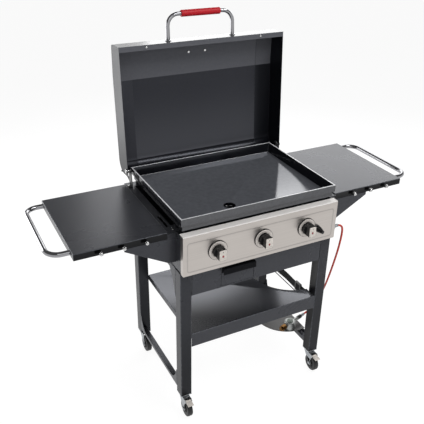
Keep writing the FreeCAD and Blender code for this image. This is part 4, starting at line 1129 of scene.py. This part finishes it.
@dataclass
class Griddle(SubAssembly):
    """The griddle plate with its seasoned surface, a painted highlight on its rim and rear fold, and its
    front wall.
    """

    rim_edge: float = 2.3
    corner: float = 3.0
    well_edge: float = 4.0
    well_depth: float = 20.0
    wall_reach: float = 12.0
    wall_facing: Pair = (-OPEN, -0.85)
    rim_facing: Pair = (0.5, OPEN)
    fold_facing: Pair = (0.2, 0.97)
    highlight_lift: float = 0.12
    small_area: float = 2e-4

    def build(self) -> None:
        """Rounds the plate and lays a finish on its surface and front, with a painted highlight on its rim
        and rear fold.
        """
        node = "griddle_plate"
        folds = [Fold(self.corner, "z"), Fold(self.rim_edge, "xy", ("z+",))]
        plate = self.soften(node, folds, self.well_edge)
        low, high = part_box(node)
        in_well = (-OPEN, high.z - self.well_depth * MM)
        surface = Patch({"z": LEVEL}, {"z": in_well}, self.small_area)
        self.skin("griddle_surface", plate, [surface], node, "griddle_seasoned")
        # A near-white skin on the rim's top and the rear fold: a painted highlight.
        rim = Patch({"z": self.rim_facing}, {"z": (high.z - self.rim_edge * MM, OPEN)})
        rear_fold = Patch(
            {"z": self.fold_facing, "y": (-OPEN, -self.fold_facing[0])}, {"y": (0.0, OPEN), "z": in_well}
        )
        self.skin("griddle_painted_highlights", plate, [rim, rear_fold], node, "rim_painted_highlight", self.highlight_lift)
        wall = Patch({"y": self.wall_facing}, {"y": (-OPEN, low.y + self.wall_reach * MM)})
        self.skin("griddle_front_wall", plate, [wall], node, "wall_front")


class KnobSide(Enum):
    """The three knobs, seen from the front."""

    LEFT = "left"
    CENTRE = "centre"
    RIGHT = "right"


@dataclass
class ControlPanel(SubAssembly):
    """The brushed panel with a painted highlight on its folded top, its embossed border in painted shade, and
    the knobs' bevelled rings.
    """

    sheet_edge: float = 0.5
    end_fold: float = 1.8
    fold_depth: float = 6.0
    fold_facing: Pair = (0.3, OPEN)
    fold_lift: float = 0.1
    plain_top: float = 16.0
    border_inset: Pair = (17.0, 14.0)
    border_corner: float = 9.0
    border_width: float = 5.0
    border_height: float = 0.8
    border_sink: float = 0.05
    border_section: tuple[Pair, ...] = ((-0.5, 0.0), (-0.2, 1.0), (0.2, 1.0), (0.5, 0.0))
    ring_base: tuple[Pair, ...] = (
        (25.0, 0.0), (38.5, 0.0), (38.5, 4.2), (37.6, 4.6), (25.0, 4.6), (25.0, 0.0),
    )
    ring_top: tuple[Pair, ...] = (
        (25.2, 4.4), (36.9, 4.4), (36.9, 5.2), (36.4, 5.8), (35.4, 6.0),
        (27.0, 6.0), (25.8, 5.7), (25.2, 5.0), (25.2, 4.4),
    )
    ring_steps: int = 72

    def build(self) -> None:
        """Rounds the panel, lays the border on it and turns the rings."""
        node = "control_panel"
        folds = [Fold(self.end_fold, "z", ("y-",)), Fold(self.end_fold, "x", ("y-", "z-"))]
        sheet = self.soften(node, folds, self.sheet_edge)
        low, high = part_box(node)
        # A near-white skin on the fold's top: painted highlight.
        fold = Patch({"z": self.fold_facing}, {"z": (high.z - self.fold_depth * MM, OPEN)})
        self.skin("control_panel_fold_highlight", sheet, [fold], node, "fold_painted_highlight", self.fold_lift)
        middle = Vector((0, low.y, (low.z + high.z) / 2 - self.plain_top / 2 * MM))
        width = (high.x - low.x) / MM - 2 * self.border_inset[0]
        height = (high.z - low.z) / MM - self.plain_top - 2 * self.border_inset[1]
        loops = []
        for across, out in self.border_section:
            grow = across * self.border_width
            points = rounded_rectangle(width + 2 * grow, height + 2 * grow, self.border_corner + grow)
            loops.append((points, out * self.border_height - self.border_sink))
        # The raised border in a darker tone: painted shade along the emboss.
        border = stacked("panel_border", Face(middle, RIGHTWARD, UPWARD), loops, False)
        self.keep(border, "cart", "border_painted_shade")
        for side in KnobSide:
            self.ring(side)

    def ring(self, side: KnobSide) -> None:
        """Turns one knob's dark base, whose black is partly a painted shadow round the ring, and its bevelled
        ring.

        Args:
            side: which knob they go round.
        """
        low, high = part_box("knob_" + side.value)
        panel_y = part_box("knob_bezels")[1].y
        centre = Vector(((low.x + high.x) / 2, panel_y, (low.z + high.z) / 2))
        # The dark base ring is real, and its black also stands in for the ring's shadow on the panel.
        for name, profile, finish in (
            ("knob_ring_shadow_base_", self.ring_base, "black_plastic"), ("knob_ring_", self.ring_top, "ring_satin"),
        ):
            ring = lathe(name + side.value, profile, centre, FRONTWARD, self.ring_steps)
            self.keep(ring, "cart", finish, "knob_bezels")


@dataclass
class Knob(SubAssembly):
    """One burner knob: rounded body, skirt ribs, pale face, dark tick and red pointer."""

    side: KnobSide = KnobSide.LEFT
    edge: float = 1.4
    face_outline: Triple = (29.0, 42.0, 3.8)
    face_thickness: float = 0.9
    face_edge: float = 0.5
    pointer: Triple = (7.0, 9.0, 3.2)
    pointer_rise: float = -4.0
    tick: Triple = (1.8, 5.0, 0.8)
    tick_rise: float = 13.0
    mark_sink: float = 0.2
    mark_thickness: float = 0.5
    mark_edge: float = 0.15
    skirt_ribs: int = 36
    skirt_radius: float = 22.8
    skirt_rib: Triple = (1.2, 1.6, 9.0)
    skirt_depth: float = 6.0

    def build(self) -> None:
        """Makes the knob's pieces."""
        node = "knob_" + self.side.value
        body = BODY_OF[node]
        self.soften(node, fine=self.edge)
        low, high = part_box(node)
        middle = Vector(((low.x + high.x) / 2, low.y, (low.z + high.z) / 2))
        face = Face(middle, RIGHTWARD, UPWARD)
        plate = raised_plate(node + "_face", face, self.face_outline, self.face_thickness, self.face_edge)
        self.keep(plate, body, "pale_plastic")
        for label, outline, rise, finish in (
            ("_pointer", self.pointer, self.pointer_rise, "pointer_red"),
            ("_tick", self.tick, self.tick_rise, "black_plastic"),
        ):
            spot = Face(face.at(0.0, rise, self.face_thickness - self.mark_sink), RIGHTWARD, UPWARD)
            mark = raised_plate(node + label, spot, outline, self.mark_thickness, self.mark_edge)
            self.keep(mark, body, finish)
        skirt = Vector((middle.x, high.y - self.skirt_depth * MM, middle.z))
        ribs = self.shop.rib_ring(
            node + "_skirt_ribs", self.skirt_ribs, self.skirt_radius, self.skirt_rib, skirt, FRONTWARD,
            "black_plastic",
        )
        self.keep(ribs, body, "black_plastic")


@dataclass
class Igniter(SubAssembly):
    """The igniter's collar and its ribbed button."""

    collar_edge: float = 0.6
    button_edge: float = 0.7

    def build(self) -> None:
        """Rounds both pieces."""
        self.soften("igniter_body", fine=self.collar_edge)
        self.soften("igniter_button", fine=self.button_edge)


@dataclass
class Lid(SubAssembly):
    """The open lid with its ends, badge, bolts, hinge pins, handle and grip."""

    sheet_edge: float = 0.6
    bolt_edge: float = 1.0
    crease_height: float = 1250.0
    lining_lift: float = 0.1
    small_area: float = 4e-4

    def build(self) -> None:
        """Rounds the sheet edges and the fittings, and lines the inside with painted light: a lit band above
        the crease, and below it a tone that lightens towards the bottom on the shell and turns to painted
        shade on the right end.
        """
        for node in ("lid_badge", "lid_hinge_pins"):
            self.soften(node, fine=self.sheet_edge)
        crease = UPWARD * (self.crease_height * MM)
        inside = Patch({"y": AGAINST}, least_area=self.small_area)
        for node, outside, low_finish in (
            # The linings are painted light: lighter towards the bottom on the shell, painted shade on the
            # right end, a lit band above the crease.
            ("lid_shell", "", "lid_inside_painted_light"), ("lid_end_panels", "lid_end", "lid_lap_painted_light"),
        ):
            sheet = self.soften(node, fine=self.sheet_edge, finish=outside)
            for part, finish, side in (("_low", low_finish, -1), ("_high", "lid_inside_lit_band", 1)):
                lining = self.skin(node + part, sheet, [inside], node, finish, self.lining_lift)
                trimmed(lining, crease, UPWARD * side)
        self.soften("lid_bolts", fine=self.bolt_edge)
        self.soften("lid_handle", finish="handle_steel")
        self.soften("lid_grip")


@dataclass
class SideShelf(SubAssembly):
    """One side shelf with painted shade on its front lip, and its towel bar."""

    side: str = "left"
    fold: float = 2.6
    corner: float = 2.0
    bar_edge: float = 0.3

    def build(self) -> None:
        """Rounds the shelf's folds and the bar."""
        folds = [Fold(self.fold, "xy", ("z+",)), Fold(self.corner, "z")]
        node = "side_shelf_" + self.side
        shelf = self.soften(node, folds)
        # Painted shade on the shelf's front lip.
        lip = self.skin(node + "_lip", shelf, [Patch({"y": AGAINST})], node, "side_painted_shade")
        trimmed(lip, Vector((0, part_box(node)[0].y + MM, 0)), FRONTWARD)
        self.soften("towel_bar_" + self.side, fine=self.bar_edge, finish="handle_steel")


@dataclass
class ShelfFittings(SubAssembly):
    """The gussets and hooks under both side shelves, with painted shadow in the lips' notches and along the
    lips' lower edges.
    """

    plate_edge: float = 0.6
    wire_edge: float = 0.5
    hook_places: tuple[float, ...] = (446.0, 528.0, 610.0)
    notch: Pair = (22.0, 13.0)
    notch_shift: float = 6.0
    notch_drop: float = 9.5
    line_height: float = 1.8

    def build(self) -> None:
        """Rounds the plates and the wire, then lays painted shadow in the notches and under the lips."""
        self.soften("shelf_gussets", fine=self.plate_edge)
        self.soften("shelf_hooks", fine=self.wire_edge)
        gusset_low, gusset_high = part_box("shelf_gussets")
        for name, side in SIDES:
            low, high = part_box("side_shelf_" + name)
            for index, place in enumerate(self.hook_places):
                x = (side * place - self.notch_shift) * MM
                spot = Face(Vector((x, low.y, high.z - self.notch_drop * MM)), RIGHTWARD, UPWARD)
                self.darken(f"hook_notch_{name}_{index + 1}", spot, self.notch)
            inner = min(abs(low.x), abs(high.x))
            reach = (gusset_high.x - inner) / MM
            middle_x = side * (gusset_high.x + inner) / 2
            line_z = low.z - self.line_height / 2 * MM
            spot = Face(Vector((middle_x, gusset_low.y, line_z)), RIGHTWARD, UPWARD)
            self.darken("gusset_shadow_line_" + name, spot, (reach, self.line_height))


@dataclass
class BottlePlace(SubAssembly):
    """The bottle's foot plate, its strap with a buckle, and the elastic cord."""

    plate_edge: float = 0.6
    strap: Triple = (2.2, 38.0, 1.0)
    strap_corner_steps: int = 3
    strap_rows: int = 60
    wave: float = 1.6
    half_waves: int = 5
    buckle: Pair = (42.0, 46.0)
    buckle_depth: float = 4.0
    buckle_bar: float = 7.0
    buckle_corners: Pair = (5.0, 3.0)
    buckle_forward: float = 95.0
    cord_radius: float = 2.0
    cord_steps: int = 20

    def build(self) -> None:
        """Rounds the plate, then makes the strap, the cord and the buckle's two sides."""
        self.soften("bottle_plate", fine=self.plate_edge, finish="plate_pale")
        low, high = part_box("bottle_strap")
        x = (low.x + high.x) / 2
        wide, tall = self.buckle
        z = high.z - tall / 2 * MM
        outline = rounded_rectangle(*self.strap, self.strap_corner_steps)
        loops = []
        for row in range(self.strap_rows + 1):
            share = row / self.strap_rows
            drift = self.wave * math.sin(math.pi * share) * math.sin(self.half_waves * math.pi * share)
            loops.append(([(u + drift, v) for u, v in outline], -share * (high.y - low.y) / MM))
        start = Face(Vector((x, low.y, z)), RIGHTWARD, UPWARD)
        band = stacked("bottle_strap_band", start, loops, True)
        self.keep(band, "cart", "webbing", "bottle_strap")
        length = (high.y - low.y) / MM
        rod = [(0.0, 0.0), (self.cord_radius, 0.0), (self.cord_radius, length), (0.0, length)]
        foot = Vector((x, low.y, low.z + self.cord_radius * MM))
        cord = lathe("bottle_strap_elastic", rod, foot, BACKWARD, self.cord_steps)
        self.keep(cord, "cart", "webbing")
        middle = Vector((x, (low.y + high.y) / 2 - self.buckle_forward * MM, z))
        outer = rounded_rectangle(wide, tall, self.buckle_corners[0])
        hole = (wide - 2 * self.buckle_bar, tall - 2 * self.buckle_bar)
        inner = rounded_rectangle(*hole, self.buckle_corners[1])
        loops = [(outer, 0.0), (outer, self.buckle_depth), (inner, self.buckle_depth), (inner, 0.0)]
        for name, side in SIDES:
            face = Face(middle, FRONTWARD * side, UPWARD)
            self.keep(stacked("bottle_strap_buckle_" + name, face, loops, False), "cart", "black_plastic")


@dataclass
class GasLine(SubAssembly):
    """The hose, the regulator's fittings and the brass connection."""

    route: tuple[Triple, ...] = (
        (345.0, -263.0, 736.0), (360.0, -263.0, 736.0), (373.0, -263.0, 728.5), (380.5, -263.0, 715.5),
        (381.5, -262.5, 688.0), (381.0, -259.0, 650.0), (382.0, -248.0, 590.0), (386.0, -221.0, 490.0),
        (401.4, -181.8, 394.9), (414.8, -147.1, 326.6), (426.3, -115.8, 273.2), (434.2, -93.9, 228.9),
        (425.2, -84.0, 199.9), (407.3, -81.0, 179.9), (385.6, -83.5, 170.0), (366.5, -89.5, 170.0),
    )
    hose_diameter: float = 8.5
    hose_length: float = 0.670
    hose_steps: int = 10
    hose_round_steps: int = 5
    pipe_edge: float = 0.5
    casting_edge: float = 0.8
    ferrule_length: float = 22.0
    ferrule_radii: Triple = (4.3, 6.7, 6.9)
    ferrule_mouth: float = 0.2
    crimp_starts: tuple[float, ...] = (2.0, 7.0, 12.0, 17.0)
    crimp: tuple[Pair, ...] = ((6.9, 0.0), (6.9, 3.0), (6.2, 3.6), (6.2, 4.4))
    sleeve_length: float = 27.0
    sleeve: tuple[Pair, ...] = (
        (6.0, 0.0), (8.0, 0.0), (8.9, 1.0), (8.9, 24.0), (7.6, 27.0), (6.0, 27.0), (6.0, 0.0),
    )
    fitting_steps: int = 32
    cap_from_sleeve: float = 52.0
    cap: tuple[Pair, ...] = ((0.0, 0.6), (11.0, 0.6), (13.2, 0.2), (14.2, -1.0), (14.2, -3.4), (0.0, -3.4))
    cap_steps: int = 40
    knurls: int = 28
    knurl_radius: float = 24.6
    knurl: Triple = (1.6, 2.2, 8.0)
    knurl_drop: float = 16.0

    def build(self) -> None:
        """Draws the hose on its spline and turns the fittings on it."""
        end = Vector(self.route[-1]) * MM
        heading = (Vector(self.route[-1]) - Vector(self.route[-2])).normalized()
        self.hose = self.draw_hose()
        self.soften("gas_manifold", fine=self.pipe_edge)
        body = self.soften("regulator", fine=self.casting_edge)
        nut = NODES["regulator_nut"]
        bore, mouth, widest = self.ferrule_radii
        profile = [(bore, self.ferrule_mouth), (mouth, self.ferrule_mouth)]
        profile += [(radius, start + rise) for start in self.crimp_starts for radius, rise in self.crimp]
        profile += [(widest, self.ferrule_length), (bore, self.ferrule_length), (bore, self.ferrule_mouth)]
        ferrule = lathe("hose_ferrule", profile, end, heading, self.fitting_steps)
        self.keep(ferrule, "cart", "zinc_steel")
        start = end + heading * (self.ferrule_length * MM)
        sleeve = lathe("hose_sleeve", self.sleeve, start, heading, self.fitting_steps)
        self.keep(sleeve, "cart", "black_plastic")
        reach = self.ferrule_length + self.sleeve_length + self.cap_from_sleeve
        centre = end + heading * (reach * MM)
        top = Vector((centre.x, centre.y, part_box("regulator")[1].z))
        cap = lathe("regulator_cap", self.cap, top, UPWARD, self.cap_steps)
        self.keep(cap, "cart", "regulator_cap")
        waist = top - UPWARD * (self.knurl_drop * MM)
        knurl = self.shop.rib_ring(
            "regulator_knurl", self.knurls, self.knurl_radius, self.knurl, waist, UPWARD, "cast_alloy"
        )
        self.keep(knurl, "cart", "cast_alloy")
        self.fittings = [body, nut, ferrule, sleeve, cap, knurl]

    def draw_hose(self) -> Piece:
        """The hose as one smooth spline with given control points.

        Returns:
            The hose's curve object.
        """
        curve = bpy.data.curves.new("gas_hose_line", "CURVE")
        curve.dimensions = "3D"
        curve.bevel_depth = self.hose_diameter / 2 * MM
        curve.bevel_resolution = self.hose_round_steps
        curve.resolution_u = self.hose_steps
        curve.use_fill_caps = True
        spline = curve.splines.new("NURBS")
        spline.points.add(len(self.route) - 1)
        for point, place in zip(spline.points, self.route):
            point.co = (place[0] * MM, place[1] * MM, place[2] * MM, 1.0)
        spline.order_u = 3
        spline.use_endpoint_u = True
        return self.keep(placed("gas_hose_line", curve), "cart", "hose_rubber", "gas_hose")

    def dress(self) -> None:
        """Dresses the pieces."""
        super().dress()


@dataclass(frozen=True)
class SoftBox:
    """One studio lamp: where it stands, what it faces, its size and its power."""

    name: str
    place: Triple
    target: Triple
    size: Pair
    power: float

    def build(self) -> None:
        """Adds the lamp."""
        lamp = bpy.data.lights.new(self.name, "AREA")
        lamp.shape = "RECTANGLE"
        lamp.size, lamp.size_y = self.size
        lamp.energy = self.power
        piece = bpy.data.objects.new(self.name, lamp)
        piece.location = self.place
        facing = Vector(self.target) - Vector(self.place)
        piece.rotation_euler = facing.to_track_quat("-Z", "Y").to_euler()
        bpy.context.scene.collection.objects.link(piece)


@dataclass(frozen=True)
class Studio:
    """The pale floor, the white surround, the lamps and the camera."""

    eye: Triple = (-1.0853, -1.9444, 1.9416)
    yaw: float = -27.41
    pitch: float = 28.2
    roll: float = -1.01
    lens: float = 52.4
    sensor: float = 36.0
    sight: float = 100.0
    floor_size: float = 60.0
    floor_tone: Triple = (242, 242, 242)
    floor_roughness: float = 0.9
    floor_glow: float = 0.8
    floor_light: float = 1.14
    ceiling_light: float = 0.15
    ceiling_span: Pair = (0.12, 0.38)
    lamps: tuple[SoftBox, ...] = (
        SoftBox("left_back_box", (-1.9, 2.3, 0.95), (-0.3, 0.0, 0.7), (1.6, 1.9), 40.0),
        SoftBox("right_back_box", (1.85, 2.2, 2.1), (0.3, 0.0, 0.75), (2.7, 1.35), 32.0),
        SoftBox("middle_back_box", (0.38, 2.6, 2.3), (-0.5, 0.0, 0.85), (0.6, 0.9), 4.4),
        SoftBox("front_box", (-0.8, -2.4, 2.9), (0.0, 0.0, 0.7), (2.0, 1.5), 14.0),
        SoftBox("top_strip", (1.1, -1.1, 3.1), (0.0, -0.1, 0.85), (2.6, 0.35), 40.0),
    )

    def build(self) -> None:
        """Sets up the whole studio."""
        scene = bpy.context.scene
        scene.view_settings.view_transform = "Standard"
        self.surround()
        self.floor()
        for lamp in self.lamps:
            lamp.build()
        self.camera()

    def seen(self, bench: Bench) -> Socket:
        """Whether a ray comes from the camera or from a mirror-like or clear surface.

        Args:
            bench: the tree's bench.

        Returns:
            A socket that is 1 for such a ray.
        """
        rays = bench.add("ShaderNodeLightPath").outputs
        sharp = bench.math("MAXIMUM", rays["Is Camera Ray"], rays["Is Glossy Ray"])
        return bench.math("MAXIMUM", sharp, rays["Is Transmission Ray"])

    def surround(self) -> None:
        """Makes the world white round the object and dimmer overhead."""
        world = bpy.data.worlds.new("surround")
        world.use_nodes = True
        bench = Bench(world.node_tree)
        back = world.node_tree.nodes["Background"]
        back.inputs["Color"].default_value = (1.0, 1.0, 1.0, 1.0)
        way = bench.add("ShaderNodeTexCoord").outputs["Generated"]
        height = bench.add("ShaderNodeSeparateXYZ", {0: way}).outputs["Z"]
        strength = bench.spread(height, self.ceiling_span, (1.0, self.ceiling_light))
        world.node_tree.links.new(strength, back.inputs["Strength"])
        bpy.context.scene.world = world

    def floor(self) -> None:
        """Lays the pale floor, which keeps a soft shadow."""
        half = self.floor_size / 2
        mesh = bpy.data.meshes.new("studio_floor")
        corners = [(-half, -half, 0.0), (half, -half, 0.0), (half, half, 0.0), (-half, half, 0.0)]
        mesh.from_pydata(corners, [], [(0, 1, 2, 3)])
        floor = placed("studio_floor", mesh)
        material = bpy.data.materials.new("studio_floor")
        material.use_nodes = True
        tree = material.node_tree
        bench = Bench(tree)
        plain = tree.nodes["Principled BSDF"]
        plain.inputs["Base Color"].default_value = linear(self.floor_tone)
        plain.inputs["Roughness"].default_value = self.floor_roughness
        plain.inputs["Specular IOR Level"].default_value = 0.0
        glow = bench.add("ShaderNodeEmission", {"Strength": self.floor_light})
        share = bench.math("MULTIPLY", self.seen(bench), self.floor_glow)
        both = bench.add("ShaderNodeMixShader", {0: share, 1: plain.outputs[0], 2: glow.outputs[0]})
        tree.links.new(both.outputs[0], tree.nodes["Material Output"].inputs["Surface"])
        mesh.materials.append(material)

    def camera(self) -> None:
        """Puts the camera where the photograph was taken from."""
        yaw, pitch, roll = (math.radians(angle) for angle in (self.yaw, self.pitch, self.roll))
        ahead = Vector((-math.sin(yaw) * math.cos(pitch), math.cos(yaw) * math.cos(pitch), -math.sin(pitch)))
        right = Vector((math.cos(yaw), math.sin(yaw), 0.0))
        down = ahead.cross(right)
        across = right * math.cos(roll) + down * math.sin(roll)
        up = right * math.sin(roll) - down * math.cos(roll)
        lens = bpy.data.cameras.new("photo_camera")
        lens.lens = self.lens
        lens.sensor_width = self.sensor
        lens.sensor_fit = "HORIZONTAL"
        lens.clip_end = self.sight
        piece = bpy.data.objects.new("photo_camera", lens)
        turn = Matrix((across, up, -ahead)).transposed().to_4x4()
        piece.matrix_world = Matrix.Translation(Vector(self.eye)) @ turn
        bpy.context.scene.collection.objects.link(piece)
        bpy.context.scene.camera = piece


def dress_cad_nodes(shop: Workshop) -> None:
    """Gives every CAD node its slot's finish.

    Args:
        shop: the workshop that holds the finishes.
    """
    for name, node in NODES.items():
        node.data.materials.clear()
        node.data.materials.append(shop.finishes[SLOT_OF[name]])


def main() -> None:
    """Builds the studio, then each sub-assembly in order."""
    logging.basicConfig(level=logging.INFO, format="%(name)s: %(message)s")
    Studio().build()
    shop = Workshop()
    dress_cad_nodes(shop)
    assemblies: list[SubAssembly] = [GasLine(shop), CartFrame(shop)]
    assemblies += [Caster(shop, place=place) for place in PLACES]
    assemblies += [Firebox(shop), Griddle(shop), ControlPanel(shop), Igniter(shop), Lid(shop)]
    assemblies += [Knob(shop, side=side) for side in KnobSide]
    assemblies += [SideShelf(shop, side=name) for name, _ in SIDES]
    assemblies += [ShelfFittings(shop), BottlePlace(shop)]
    for assembly in assemblies:
        assembly.build()
        assembly.dress()


if __name__ == "__main__":
    main()
